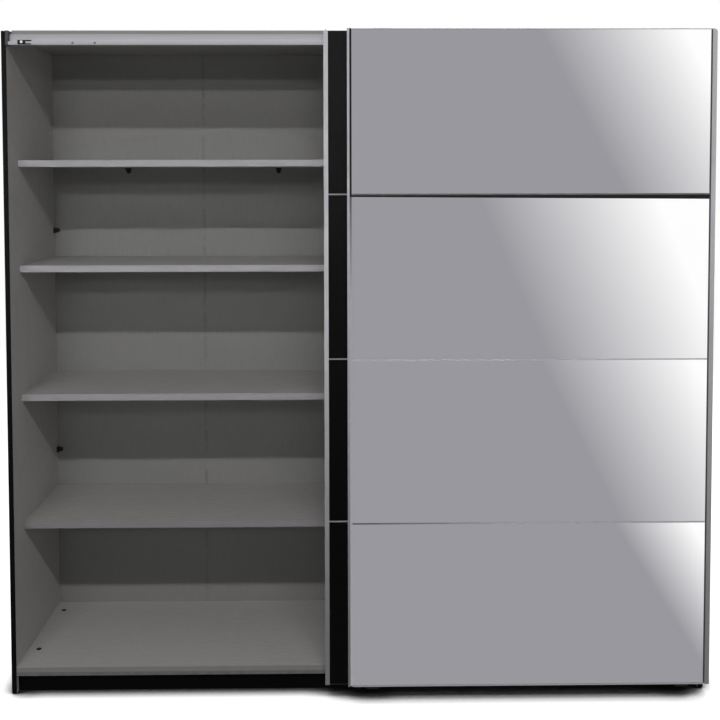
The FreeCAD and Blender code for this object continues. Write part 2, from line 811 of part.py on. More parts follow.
def make_glazing(door):
    """Glaze the leaf in four fields with a thin divider between each two."""
    across = door.left + " + leafSideInset"
    face = door.front + " + glassFace"
    width = "doorWidth - 2 * leafSideInset"
    joint = "(dividerWeb / 2 + dividerGap)"
    edges = [door.low + " + leafEndInset"]
    for number in range(3):
        edges += [divider_height(number) + " - " + joint, divider_height(number) + " + " + joint]
    edges.append(door.top + " - leafEndInset")
    panels = []
    for number in range(4):
        low, high = edges[2 * number], edges[2 * number + 1]
        size = (width, "glassThickness", "(%s) - (%s)" % (high, low))
        panels.append(add_box("%s_panel_%d" % (door.name, number + 1), (across, face, low), size))
    dividers = [make_divider(door, number) for number in range(3)]
    return panels + [add_group(door.name + "_dividers", dividers)]


def make_divider(door, number):
    """Extrude a T-section: its web between two panes, its flange over their edges."""
    skin = "glassFace - dividerFlange"
    half = "dividerFace / 2"
    web = "dividerWeb / 2"
    corners = [
        (skin, "-" + half),
        ("glassFace", "-" + half),
        ("glassFace", "-" + web),
        ("glassBack", "-" + web),
        ("glassBack", web),
        ("glassFace", web),
        ("glassFace", half),
        (skin, half),
    ]
    place = ("%s + %s" % (door.left, door.marginLeft), door.front, divider_height(number))
    length = "doorWidth - (%s) - (%s)" % (door.marginLeft, door.marginRight)
    return add_extrusion("Divider", place, "YZ_Plane", corners, length)


def make_gaskets(door):
    """Lay the black gaskets that fill the joint between a narrow flange and the glass."""
    level = door.low + " + bottomRailLip"
    tall = door.tall + " - bottomRailLip - topRailLip"
    face = door.front + " + glassFace - gasketThickness"
    leftPlace = (door.left + " + handleFlange", face, level)
    leftStrip = add_box("HandleGasket", leftPlace, ("stileWidth - handleFlange", "gasketThickness", tall))
    rightPlace = (door.right + " - rightFlange - gasketWidth", face, level)
    rightStrip = add_box("EdgeGasket", rightPlace, ("gasketWidth", "gasketThickness", tall))
    return add_group(door.name + "_gaskets", [leftStrip, rightStrip])


def make_leaf(door):
    place = (door.left + " + leafSideInset", door.front + " + glassBack", door.low + " + leafEndInset")
    size = ("doorWidth - 2 * leafSideInset", "leafThickness", door.tall + " - 2 * (leafEndInset)")
    return add_box(door.name + "_leaf", place, size)


def make_door(door):
    left = make_stile(door, "left", door.left, door.flangeLeft, "")
    right = make_stile(door, "right", door.right, door.flangeRight, "-")
    pieces = [make_leaf(door), left, right]
    pieces.append(make_edge_rail(door, "bottom", door.low, "bottomRailHeight", "bottomRailLip", upwards=True))
    pieces.append(make_edge_rail(door, "top", door.top, "topRailHeight", "topRailLip", upwards=False))
    return pieces + make_glazing(door)


def add_peg(stile, door):
    """Stand the end of the adjusting rod on top of the stile."""
    sketch = add_sketch(stile, "Peg", "XY_Plane", door.tall + " - stileWall")
    draw_circle(sketch, "pegPosition", "pegSetback", "pegRadius")
    add_pad(stile, sketch, "pegHeight + stileWall")


def round_corner(stile, door):
    """Round the outer upper corner of a right-hand stile."""
    sketch = add_sketch(stile, "Corner", "XZ_Plane")
    circle = Part.Circle(FreeCAD.Vector(-5, 5, 0), FreeCAD.Vector(0, 0, 1), 5)
    arc = sketch.addGeometry(Part.ArcOfCircle(circle, 0, math.pi / 2))
    top = sketch.addGeometry(Part.LineSegment(FreeCAD.Vector(-5, 10, 0), FreeCAD.Vector(0, 10, 0)))
    side = sketch.addGeometry(Part.LineSegment(FreeCAD.Vector(0, 10, 0), FreeCAD.Vector(0, 5, 0)))
    for edge, following in ((arc, top), (top, side), (side, arc)):
        sketch.addConstraint(Sketcher.Constraint("Coincident", edge, 2, following, 1))
    sketch.addConstraint(Sketcher.Constraint("Vertical", side))
    sketch.addConstraint(Sketcher.Constraint("Horizontal", arc, 1, arc, 3))
    sketch.addConstraint(Sketcher.Constraint("Vertical", arc, 2, arc, 3))
    pin_point(sketch, top, 2, "0", door.tall)
    pin_point(sketch, arc, 3, "-stileCornerRadius", door.tall + " - stileCornerRadius")
    add_pocket(stile, sketch, "doorThickness")


# Running gear

def add_axle(body, start, lane, level, shouldered):
    """Raise an axle with a head on the plate whose rear face is at start."""
    middle = "hangerWidth / 2"
    root = "(%s) - hangerThickness / 2" % start
    shoulderEnd = "(%s) - rollerWidth / 2 - axleEndGap" % lane
    axleEnd = "(%s) + rollerWidth / 2 + axleEndGap" % lane
    steps = [
        ("Axle", root, axleEnd, "rollerAxleRadius"),
        ("Head", axleEnd, axleEnd + " + axleHeadThickness", "axleHeadRadius"),
    ]
    if shouldered:
        steps.append(("Shoulder", root, shoulderEnd, "axleHeadRadius"))
    for name, near, far, radius in steps:
        sketch = add_sketch(body, name, "XZ_Plane", "-(%s)" % near)
        draw_circle(sketch, middle, level, radius)
        add_pad(body, sketch, "(%s) - (%s)" % (far, near), backwards=True)


def make_rear_hanger(start):
    """Make the flat hanger whose axle reaches over the lip into the first lane."""
    tall = "rearHangerTop - hangerBottom"
    corners = [("0", "0"), ("hangerThickness", "0"), ("hangerThickness", tall), ("0", tall)]
    place = (start, "rearLeafBack", "hangerBottom")
    body = add_extrusion("RearHanger", place, "YZ_Plane", corners, "hangerWidth")
    level = "rollerCentre - hangerBottom"
    add_axle(body, "hangerThickness", "laneOne - rearLeafBack", level, shouldered=True)
    return body


def make_front_hanger(start):
    """Make the bent strap that passes over the rear door and down into the second lane.

    Its foot is thicker by one wall, so that it bears on the leaf below the edge rail.
    """
    tall = "strapTop - hangerBottom"
    under = tall + " - hangerThickness"
    legRear = "strapLegFace - frontDoorBack"
    legFront = legRear + " - hangerThickness"
    legFoot = "strapLegBottom - hangerBottom"
    footTop = "frontDoorTop - topRailHeight - footClearance - hangerBottom"
    corners = [
        ("-stileWall", "0"),
        ("hangerThickness", "0"),
        ("hangerThickness", under),
        (legFront, under),
        (legFront, legFoot),
        (legRear, legFoot),
        (legRear, tall),
        ("0", tall),
        ("0", footTop),
        ("-stileWall", footTop),
    ]
    place = (start, "frontDoorBack", "hangerBottom")
    body = add_extrusion("FrontHanger", place, "YZ_Plane", corners, "hangerWidth")
    level = "rollerCentre - hangerBottom"
    add_axle(body, legRear, "laneTwo - frontDoorBack", level, shouldered=False)
    return body


def make_roller(label, across, lane):
    """Turn a roller whose wide V-groove rides over the bead of its lane."""
    body = add_body(label, (across, lane, "rollerCentre"))
    section = add_sketch(body, "Section", "XY_Plane")
    bore = "rollerAxleRadius + rollerFit"
    root = "rollerRadius - beadRadius - rollerBeadGap"
    corners = [
        (bore, "-rollerWidth / 2"),
        ("rollerRim", "-rollerWidth / 2"),
        (root, "0"),
        ("rollerRim", "rollerWidth / 2"),
        (bore, "rollerWidth / 2"),
    ]
    draw_outline(section, corners)
    turned = body.newObject("PartDesign::Revolution", "Wheel")
    turned.Profile = section
    turned.ReferenceAxis = (section, ["V_Axis"])
    turned.Angle = 360
    return body


def make_running_gear(door, lane, make_hanger):
    hangers = []
    rollers = []
    sides = (("left", door.left + " + rollerInset"), ("right", door.right + " - rollerInset"))
    for side, centre in sides:
        hangers.append(make_hanger(centre + " - hangerWidth / 2"))
        rollers.append(make_roller("%s_roller_%s" % (door.name, side), centre, lane))
    return [add_group(door.name + "_hangers", hangers)] + rollers


def make_shoes(door, back, level, slot):
    """Bend two guide shoes: plate on the leaf, foot and the blade that stands in the guide slot."""
    blade = "%s - (%s)" % (slot, back)
    near = "(%s) - shoeBlade / 2" % blade
    far = "(%s) + shoeBlade / 2" % blade
    bladeTop = "guideRoof - shoeBladeGap - (%s)" % level
    plateTop = "shoePlateTop - (%s)" % level
    footLow = door.low + " + bottomRailHeight + footClearance - (%s)" % level
    corners = [
        ("0", "0"),
        (far, "0"),
        (far, bladeTop),
        (near, bladeTop),
        (near, "shoeThickness"),
        ("shoeThickness", "shoeThickness"),
        ("shoeThickness", plateTop),
        ("-stileWall", plateTop),
        ("-stileWall", footLow),
        ("0", footLow),
    ]
    shoes = []
    for start in (door.left + " + shoeInset", door.right + " - shoeInset - shoeWidth"):
        shoes.append(add_extrusion("Shoe", (start, back, level), "YZ_Plane", corners, "shoeWidth"))
    return add_group(door.name + "_shoes", shoes)


# Assembly

nodes = [
    make_left_side_panel(),
    make_side_panel("side_panel_right", "-(innerLeft)", outwards=False),
    make_partition(),
    make_bottom_panel(),
    make_top_panel(),
    make_cam_caps(),
]
nodes += make_back_wall()
nodes.append(make_back_clips())
nodes += make_shelves()
nodes.append(make_shelf_pins())
nodes += make_clothes_rail()
nodes += make_plinths()
nodes.append(make_glides())
nodes.append(make_upper_track())
nodes.append(make_track_end_caps())
nodes += make_door_stops()
nodes.append(make_lower_guide())
nodes += make_door(rearDoor)
nodes += make_door(frontDoor)
nodes.append(make_gaskets(frontDoor))
byLabel = {node.Label: node for node in nodes}
add_peg(byLabel["rear_door_stile_left"], rearDoor)
round_corner(byLabel["front_door_stile_right"], frontDoor)
nodes += make_running_gear(rearDoor, "laneOne", make_rear_hanger)
nodes += make_running_gear(frontDoor, "laneTwo", make_front_hanger)
nodes.append(make_shoes(rearDoor, "rearDoorBack", "rearShoeLevel", "slotOneCentre"))
nodes.append(make_shoes(frontDoor, "frontDoorBack", "frontShoeLevel", "slotTwoCentre"))

doc.recompute()

for item in doc.Objects:
    if "Invalid" in item.State or "Error" in item.State:
        raise RuntimeError("%s did not compute: %s" % (item.Label, item.State))
for node in nodes:
    if node.Shape.isNull() or not node.Shape.isValid():
        raise RuntimeError("%s has no valid shape" % node.Label)

os.makedirs("parts", exist_ok=True)
for node in nodes:
    node.Shape.exportStep("parts/%s.step" % node.Label)
    box = node.Shape.BoundBox
    print("%-26s %2d solids %10.1f mm3" % (node.Label, len(node.Shape.Solids), node.Shape.Volume), box)
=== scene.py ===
import bpy
import bmesh
import json
from math import cos, pi, radians, sin
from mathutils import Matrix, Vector


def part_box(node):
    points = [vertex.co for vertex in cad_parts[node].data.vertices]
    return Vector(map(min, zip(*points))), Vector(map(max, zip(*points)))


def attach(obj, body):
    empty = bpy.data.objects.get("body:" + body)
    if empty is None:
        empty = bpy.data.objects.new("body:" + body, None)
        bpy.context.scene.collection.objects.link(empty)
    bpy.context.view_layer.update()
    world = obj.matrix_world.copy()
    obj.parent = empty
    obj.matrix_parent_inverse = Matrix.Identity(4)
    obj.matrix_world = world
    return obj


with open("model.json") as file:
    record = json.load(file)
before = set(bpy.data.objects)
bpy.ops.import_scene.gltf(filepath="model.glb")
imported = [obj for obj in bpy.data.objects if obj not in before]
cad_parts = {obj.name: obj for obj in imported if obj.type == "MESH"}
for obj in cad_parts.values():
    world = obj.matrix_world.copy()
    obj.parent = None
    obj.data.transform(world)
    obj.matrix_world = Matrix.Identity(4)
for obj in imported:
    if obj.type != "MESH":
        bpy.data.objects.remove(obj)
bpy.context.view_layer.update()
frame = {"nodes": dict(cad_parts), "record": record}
nodes = frame["nodes"]
print("frame loaded:", len(nodes), "nodes")


# Node tree helpers

def startFinish(name, color, roughness, metallic=0.0, specular=0.5):
    finish = bpy.data.materials.new(name)
    finish.use_nodes = True
    tree = finish.node_tree
    shader = tree.nodes["Principled BSDF"]
    shader.inputs["Base Color"].default_value = (*color, 1.0)
    shader.inputs["Roughness"].default_value = roughness
    shader.inputs["Metallic"].default_value = metallic
    shader.inputs["Specular IOR Level"].default_value = specular
    return finish, tree, shader


def addNode(tree, kind, **settings):
    node = tree.nodes.new(kind)
    for name, value in settings.items():
        setattr(node, name, value)
    return node


def wire(tree, source, target):
    tree.links.new(source, target)


def objectCoords(tree, stretch=(1.0, 1.0, 1.0)):
    coords = addNode(tree, "ShaderNodeTexCoord")
    mapping = addNode(tree, "ShaderNodeMapping")
    mapping.inputs["Scale"].default_value = stretch
    wire(tree, coords.outputs["Object"], mapping.inputs["Vector"])
    return mapping.outputs["Vector"]


def addNoise(tree, vector, scale, detail=3.0, roughness=0.5):
    noise = addNode(tree, "ShaderNodeTexNoise")
    noise.inputs["Scale"].default_value = scale
    noise.inputs["Detail"].default_value = detail
    noise.inputs["Roughness"].default_value = roughness
    wire(tree, vector, noise.inputs["Vector"])
    return noise.outputs["Fac"]


def addMath(tree, operation, first, second=None):
    node = addNode(tree, "ShaderNodeMath", operation=operation)
    for socket, value in zip(node.inputs, (first, second)):
        if value is None:
            continue
        if isinstance(value, (int, float)):
            socket.default_value = value
        else:
            wire(tree, value, socket)
    return node.outputs["Value"]


def addRange(tree, value, low, high, newLow=0.0, newHigh=1.0):
    node = addNode(tree, "ShaderNodeMapRange", clamp=True)
    for name, number in (("From Min", low), ("From Max", high), ("To Min", newLow), ("To Max", newHigh)):
        node.inputs[name].default_value = number
    wire(tree, value, node.inputs["Value"])
    return node.outputs["Result"]


def addRamp(tree, value, stops):
    # stops: (place between 0 and 1, tone)
    node = addNode(tree, "ShaderNodeValToRGB")
    marks = node.color_ramp.elements
    while len(marks) < len(stops):
        marks.new(0.5)
    for mark, (place, tone) in zip(marks, stops):
        mark.position = place
        mark.color = (tone, tone, tone, 1.0)
    wire(tree, value, node.inputs["Fac"])
    return node.outputs["Color"]


def mixColors(tree, factor, first, second):
    mix = addNode(tree, "ShaderNodeMix", data_type="RGBA")
    wire(tree, factor, mix.inputs["Factor"])
    for socket, color in ((mix.inputs[6], first), (mix.inputs[7], second)):
        if isinstance(color, tuple):
            socket.default_value = (*color, 1.0)
        else:
            wire(tree, color, socket)
    return mix.outputs[2]


def scaleColor(tree, color, factor):
    # factor is a number or a socket
    node = addNode(tree, "ShaderNodeVectorMath", operation="SCALE")
    wire(tree, color, node.inputs[0])
    if isinstance(factor, float):
        node.inputs["Scale"].default_value = factor
    else:
        wire(tree, factor, node.inputs["Scale"])
    return node.outputs["Vector"]


noiseSpan = (0.3, 0.7)     # where most of a noise's values lie


def varyRoughness(tree, shader, noise, low, high):
    wire(tree, addRange(tree, noise, *noiseSpan, low, high), shader.inputs["Roughness"])


def addBump(tree, shader, height, distance, strength):
    bump = addNode(tree, "ShaderNodeBump")
    bump.inputs["Distance"].default_value = distance
    bump.inputs["Strength"].default_value = strength
    wire(tree, height, bump.inputs["Height"])
    wire(tree, bump.outputs["Normal"], shader.inputs["Normal"])


arrisSettings = {
    "samples": 4,
    "edges": (0.02, 0.25),     # how far the rounded normal leaves the flat one, from none to the full worn edge on black foil and the full painted highlight on aluminium
}


def arrisMask(tree, radius):
    # lighter along the arrises; on the aluminium this is a painted highlight
    bevel = addNode(tree, "ShaderNodeBevel", samples=arrisSettings["samples"])
    bevel.inputs["Radius"].default_value = radius
    geometry = addNode(tree, "ShaderNodeNewGeometry")
    dot = addNode(tree, "ShaderNodeVectorMath", operation="DOT_PRODUCT")
    wire(tree, bevel.outputs["Normal"], dot.inputs[0])
    wire(tree, geometry.outputs["Normal"], dot.inputs[1])
    leaving = addMath(tree, "SUBTRACT", 1.0, dot.outputs["Value"])
    return addRange(tree, leaving, *arrisSettings["edges"])


def coordPart(tree, kind, axis):
    coords = addNode(tree, "ShaderNodeTexCoord")
    split = addNode(tree, "ShaderNodeSeparateXYZ")
    wire(tree, coords.outputs[kind], split.inputs["Vector"])
    return split.outputs[axis]


def normalPart(tree, axis):
    return coordPart(tree, "Normal", axis)


def placePart(tree, axis):
    return coordPart(tree, "Object", axis)


warmShade = (1.0, 0.99, 0.965)     # the share that is left of red, green and blue is a little warmer


def paintShadeTowardsFloor(tree, color, paintedFalloff):
    # painted shade: faces are darkened towards the floor, for the light that falls off there; the falloff is
    # given as low height, high height, share left at the bottom
    low, high, share = paintedFalloff
    node = addNode(tree, "ShaderNodeMapRange", interpolation_type="SMOOTHSTEP")
    node.inputs["From Min"].default_value = low
    node.inputs["From Max"].default_value = high
    wire(tree, placePart(tree, "Z"), node.inputs["Value"])
    shade = tuple(share * part for part in warmShade)
    left = mixColors(tree, node.outputs["Result"], shade, (1.0, 1.0, 1.0))
    scaled = addNode(tree, "ShaderNodeVectorMath", operation="MULTIPLY")
    wire(tree, color, scaled.inputs[0])
    wire(tree, left, scaled.inputs[1])
    return scaled.outputs["Vector"]


# Board finishes

foilSettings = {
    "face": (0.400, 0.392, 0.380),
    "vein": (0.330, 0.323, 0.312),
    "upright": 1.33,       # the side boards' foil is painted lighter by this, for the light that falls on their inner faces
    "paintedLightShares": {"top_panel": 0.78, "bottom_panel": 1.13},     # and these two boards' foil is painted darker under the top board, where shade falls, and lighter on the bottom board, which takes more light, by this
    "roughness": 0.55,
    "roughSpread": (0.48, 0.64),
    "specular": 0.2,
    "grainLength": 0.05,   # how far the grain is drawn out along the board
    "grainScale": 520.0,
    "grainDetail": 4.0,
    "grainMix": 0.65,      # share of the finer layers in the grain
    "grainEdges": (0.42, 0.62),
    "cloudScale": 2.6,
    "cloudEdges": (0.3, 0.75),
    "cloudShare": 0.28,
    "poreScale": 1500.0,
    "reliefDepth": 0.00008,
    "relief": 0.6,
}


def foilColor(tree, grain, clouds, face, vein):
    s = foilSettings
    veined = mixColors(tree, addRange(tree, grain, *s["grainEdges"]), face, vein)
    dusty = addRange(tree, clouds, *s["cloudEdges"], 0.0, s["cloudShare"])
    return mixColors(tree, dusty, veined, vein)


def makeFoil(name, along, share=1.0):
    # light grained foil; along is the axis number that the grain follows, and share scales its tones to
    # paint light or shade on a board
    s = foilSettings
    face = tuple(part * share for part in s["face"])
    vein = tuple(part * share for part in s["vein"])
    finish, tree, shader = startFinish(name, face, s["roughness"], specular=s["specular"])
    stretch = [1.0, 1.0, 1.0]
    stretch[along] = s["grainLength"]
    vector = objectCoords(tree, stretch)
    grain = addNoise(tree, vector, s["grainScale"], s["grainDetail"], s["grainMix"])
    pores = addNoise(tree, vector, s["poreScale"], detail=2.0)
    clouds = addNoise(tree, objectCoords(tree), s["cloudScale"])
    wire(tree, foilColor(tree, grain, clouds, face, vein), shader.inputs["Base Color"])
    varyRoughness(tree, shader, grain, *s["roughSpread"])
    addBump(tree, shader, addMath(tree, "ADD", grain, pores), s["reliefDepth"], s["relief"])
    return finish


blackFoilSettings = {
    "base": 0.0055,
    "bluer": 1.05,         # blue against red and green
    "veinLift": 1.6,
    "veinBlue": 1.65,
    "roughness": 0.5,
    "roughSpread": (0.42, 0.58),
    "specular": 0.06,
    "grainLength": 0.06,
    "grainScale": 480.0,
    "grainEdges": (0.35, 0.7),
    "cloudScale": 3.0,
    "reliefDepth": 0.00006,
    "relief": 0.6,
    "worn": (0.03, 0.029, 0.028),
    "wornRadius": 0.0012,
    "wornShare": 0.35,
    "plinthBase": 0.0018,
    "plinthSpecular": 0.02,
}


def makeBlackFoil(name, base, specular):
    s = blackFoilSettings
    black = (base, base, base * s["bluer"])
    vein = (base * s["veinLift"], base * s["veinLift"], base * s["veinBlue"])
    finish, tree, shader = startFinish(name, black, s["roughness"], specular=specular)
    grain = addNoise(tree, objectCoords(tree, (1.0, 1.0, s["grainLength"])), s["grainScale"])
    clouds = addNoise(tree, objectCoords(tree), s["cloudScale"])
    color = mixColors(tree, addRange(tree, grain, *s["grainEdges"]), black, vein)
    worn = addMath(tree, "MULTIPLY", arrisMask(tree, s["wornRadius"]), s["wornShare"])
    wire(tree, mixColors(tree, worn, color, s["worn"]), shader.inputs["Base Color"])
    varyRoughness(tree, shader, clouds, *s["roughSpread"])
    addBump(tree, shader, grain, s["reliefDepth"], s["relief"])
    return finish


sideBoardSettings = {
    "black": (0.0065, 0.0065, 0.0068),
    "vein": (0.012, 0.012, 0.0122),
    "veinEdges": (0.35, 0.7),
    "figure": (0.018, 0.018, 0.0183),
    "figureScale": 60.0,
    "figureEdges": (0.40, 0.68),
    "figureShare": 0.8,
    "roughSpread": (0.46, 0.6),
    "specular": 0.06,
    "inwardLimit": -0.5,   # normal along X times place along X, below which a face looks to the middle
}


def makeSideBoard(name):
    # two-tone board: light foil on the face towards the middle, black outside and on the edges
    foil, s = foilSettings, sideBoardSettings
    finish, tree, shader = startFinish(name, foil["face"], foil["roughness"], specular=s["specular"])
    vector = objectCoords(tree, (1.0, 1.0, foil["grainLength"]))
    grain = addNoise(tree, vector, foil["grainScale"], foil["grainDetail"], foil["grainMix"])
    clouds = addNoise(tree, objectCoords(tree), foil["cloudScale"])
    # painted light: the inner face's foil is lightened
    light = scaleColor(tree, foilColor(tree, grain, clouds, foil["face"], foil["vein"]), foil["upright"])
    figure = addNoise(tree, vector, s["figureScale"], detail=6.0, roughness=0.6)
    black = mixColors(tree, addRange(tree, grain, *s["veinEdges"]), s["black"], s["vein"])
    figured = addRange(tree, figure, *s["figureEdges"], 0.0, s["figureShare"])
    black = mixColors(tree, figured, black, s["figure"])
    across = addMath(tree, "MULTIPLY", normalPart(tree, "X"), placePart(tree, "X"))
    inward = addMath(tree, "LESS_THAN", across, s["inwardLimit"])
    wire(tree, mixColors(tree, inward, black, light), shader.inputs["Base Color"])
    varyRoughness(tree, shader, clouds, *s["roughSpread"])
    addBump(tree, shader, grain, foil["reliefDepth"], foil["relief"])
    return finish


backBoardSettings = {
    "roughness": 0.62,
    "roughSpread": (0.55, 0.7),
    "specular": 0.15,
    "reliefDepth": 0.00008,
    "relief": 0.6,
    # printed front
    "face": (0.258, 0.255, 0.250),
    "vein": (0.235, 0.232, 0.227),
    "cloud": (0.214, 0.211, 0.206),
    "cloudScale": 1.8,
    "cloudEdges": (0.3, 0.75),
    "cloudShare": 0.25,
    "grainLength": 0.04,
    "grainScale": 420.0,
    "grainEdges": (0.42, 0.62),
    # raw fibre at the rear
    "fibreDark": (0.145, 0.092, 0.048),
    "fibreLight": (0.29, 0.195, 0.115),
    "fibreScale": 260.0,
    "fibreEdges": (0.36, 0.64),
    "patch": (0.135, 0.088, 0.047),
    "patchScale": 7.0,
    "patchEdges": (0.38, 0.68),
    "patchShare": 0.55,
}


def makeBackBoard(name):
    s = backBoardSettings
    finish, tree, shader = startFinish(name, s["face"], s["roughness"], specular=s["specular"])
    vector = objectCoords(tree, (1.0, 1.0, s["grainLength"]))
    grain = addNoise(tree, vector, s["grainScale"], detail=4.0, roughness=0.65)
    clouds = addNoise(tree, objectCoords(tree), s["cloudScale"])
    printed = mixColors(tree, addRange(tree, grain, *s["grainEdges"]), s["face"], s["vein"])
    dull = addRange(tree, clouds, *s["cloudEdges"], 0.0, s["cloudShare"])
    printed = mixColors(tree, dull, printed, s["cloud"])
    fibres = addNoise(tree, objectCoords(tree), s["fibreScale"], detail=6.0, roughness=0.7)
    raw = mixColors(tree, addRange(tree, fibres, *s["fibreEdges"]), s["fibreDark"], s["fibreLight"])
    patches = addNoise(tree, objectCoords(tree), s["patchScale"], detail=6.0, roughness=0.62)
    stained = addRange(tree, patches, *s["patchEdges"], 0.0, s["patchShare"])
    raw = mixColors(tree, stained, raw, s["patch"])
    rear = addMath(tree, "GREATER_THAN", normalPart(tree, "Y"), 0.5)
    wire(tree, mixColors(tree, rear, printed, raw), shader.inputs["Base Color"])
    varyRoughness(tree, shader, clouds, *s["roughSpread"])
    addBump(tree, shader, grain, s["reliefDepth"], s["relief"])
    return finish


# Metal, glass, plastic and rubber finishes

aluminiumSettings = {
    "roughness": 0.42,
    "roughSpread": (0.36, 0.49),
    "metallic": 0.2,
    "lineLength": 0.004,   # the drawing lines run along the profile
    "lineScale": 1800.0,
    "lineEdges": (0.35, 0.68),
    "lineDepth": 0.00004,
    "lineRelief": 0.5,
    "cloudScale": 7.0,
    # painted highlight along the arrises: radius, share and lift
    "arrisRadius": 0.0008,
    "arrisShare": 0.6,
    "arrisLift": 1.35,
    # tones from the dark lines to the light ones
    "track": ((0.41, 0.406, 0.43), (0.50, 0.495, 0.52)),
    "stile": ((0.39, 0.386, 0.408), (0.485, 0.481, 0.507)),
    # painted light: the rear door's stiles and the front door's right stile get lighter copies of the
    # stile's tones
    "rearStile": ((0.464, 0.460, 0.483), (0.518, 0.514, 0.537)),
    "rightStile": ((0.40, 0.396, 0.418), (0.495, 0.491, 0.517)),
    "black": ((0.006, 0.006, 0.0065), (0.012, 0.012, 0.0125)),
    "mirrorRail": ((0.40, 0.396, 0.418), (0.46, 0.456, 0.480)),
    # painted shade: the rear door's bottom rail is darkened for the shade it lies in
    "rearRail": ((0.006, 0.006, 0.0062), (0.009, 0.009, 0.0092)),
    "rearJoint": ((0.20, 0.20, 0.21), (0.26, 0.26, 0.27)),
    # painted shade on the stiles, darker towards the floor: low height, high height, share left at the
    # bottom
    "stilePaintedFalloff": (0.15, 1.6, 0.37),
    "rearStilePaintedFalloff": (0.15, 1.50, 0.367),
    "rightStilePaintedFalloff": (0.15, 1.6, 0.52),
    # from the floor upwards: lip, groove, web, and the wall behind it in shade
    "trackSteps": (2.100, 2.150, [(0.0, 0.80), (0.20, 1.05), (0.215, 0.70), (0.235, 1.15),
                                  (0.70, 0.80), (0.73, 0.55)]),
}


def makeAluminium(name, along, tones, paintedFalloff=None, steps=None, specular=0.5):
    # satin anodised extrusion with fine drawing lines along one axis
    s = aluminiumSettings
    dark, light = tones
    finish, tree, shader = startFinish(name, light, s["roughness"], s["metallic"], specular)
    stretch = [1.0, 1.0, 1.0]
    stretch[along] = s["lineLength"]
    lines = addNoise(tree, objectCoords(tree, stretch), s["lineScale"], roughness=0.6)
    clouds = addNoise(tree, objectCoords(tree), s["cloudScale"])
    color = mixColors(tree, addRange(tree, lines, *s["lineEdges"]), dark, light)
    # painted highlight: the aluminium is lightened along its arrises
    bright = tuple(part * s["arrisLift"] for part in light)
    paintedArrisHighlight = addMath(tree, "MULTIPLY", arrisMask(tree, s["arrisRadius"]), s["arrisShare"])
    color = mixColors(tree, paintedArrisHighlight, color, bright)
    if paintedFalloff:
        color = paintShadeTowardsFloor(tree, color, paintedFalloff)
    if steps:
        # shade by height, for a section whose ledges catch the light differently
        low, high, stops = steps
        shade = addRamp(tree, addRange(tree, placePart(tree, "Z"), low, high), stops)
        product = addNode(tree, "ShaderNodeMix", data_type="RGBA", blend_type="MULTIPLY")
        product.inputs["Factor"].default_value = 1.0
        wire(tree, color, product.inputs[6])
        wire(tree, shade, product.inputs[7])
        color = product.outputs[2]
    wire(tree, color, shader.inputs["Base Color"])
    varyRoughness(tree, shader, clouds, *s["roughSpread"])
    addBump(tree, shader, lines, s["lineDepth"], s["lineRelief"])
    return finish


mirrorSettings = {
    "plain": (0.32, 0.315, 0.34),      # tone of the glass before its ramp
    "roughness": 0.06,
    "silver": 0.60,                    # display value at the dark end of the ramp, which ends near white
    "white": 0.995,
    "gamma": 2.2,                      # from the display value to the linear one
    "tintEnd": 0.95,                   # display value from which the glass has no tint left
    "tint": (0.985, 0.97, 1.05),
    "smearHeight": 0.4,                # smears are drawn out upwards
    "smearScale": 9.0,
    "smearEdges": (0.35, 0.7),
    "roughSpread": (0.05, 0.11),
    "panels": {
        # panel: (where the ramp of the painted reflection starts at the upper edge, its lean per metre down,
        # its width), in metres
        "front_door_panel_4": (0.571, 0.532, 0.455),
        "front_door_panel_3": (0.376, 0.442, 0.565),
        "front_door_panel_2": (0.577, 0.506, 0.487),
        "front_door_panel_1": (0.819, 0.620, 0.245),
    },
}


def makeMirror(name, start, lean, width, top):
    # silvered glass with a painted reflection: a ramp in its colour that lightens towards the free upper
    # corner
    s = mirrorSettings
    finish, tree, shader = startFinish(name, s["plain"], s["roughness"], metallic=1.0)
    down = addMath(tree, "SUBTRACT", top, placePart(tree, "Z"))
    shift = addMath(tree, "MULTIPLY_ADD", down, lean)
    shift.node.inputs[2].default_value = start
    along = addMath(tree, "SUBTRACT", placePart(tree, "X"), shift)
    ramp = addRange(tree, along, 0.0, width, s["silver"], s["white"])
    tone = addMath(tree, "POWER", ramp, s["gamma"])
    tint = mixColors(tree, addRange(tree, ramp, s["silver"], s["tintEnd"]), s["tint"], (1.0, 1.0, 1.0))
    wire(tree, scaleColor(tree, tint, tone), shader.inputs["Base Color"])
    smearCoords = objectCoords(tree, (1.0, 1.0, s["smearHeight"]))
    smears = addNoise(tree, smearCoords, s["smearScale"], detail=5.0, roughness=0.6)
    spread = addRange(tree, smears, *s["smearEdges"], *s["roughSpread"])
    wire(tree, spread, shader.inputs["Roughness"])
    return finish


glassSettings = {
    "plain": (0.005, 0.005, 0.0055),
    "roughness": 0.09,
    "specular": 0.03,
    "height": 2.145,
    # painted sheen, lighter towards the top: (share of the height, tone)
    "paintedSheen": [(0.30, 0.0008), (0.60, 0.0044), (0.90, 0.0130)],
    "dust": (0.020, 0.020, 0.020),
    "dustScale": 900.0,
    "dustEdges": (0.66, 0.82),
    "dustShare": 0.3,
    "smearHeight": 0.3,
    "smearScale": 11.0,
    "smearEdges": (0.35, 0.7),
    "roughSpread": (0.06, 0.16),
}


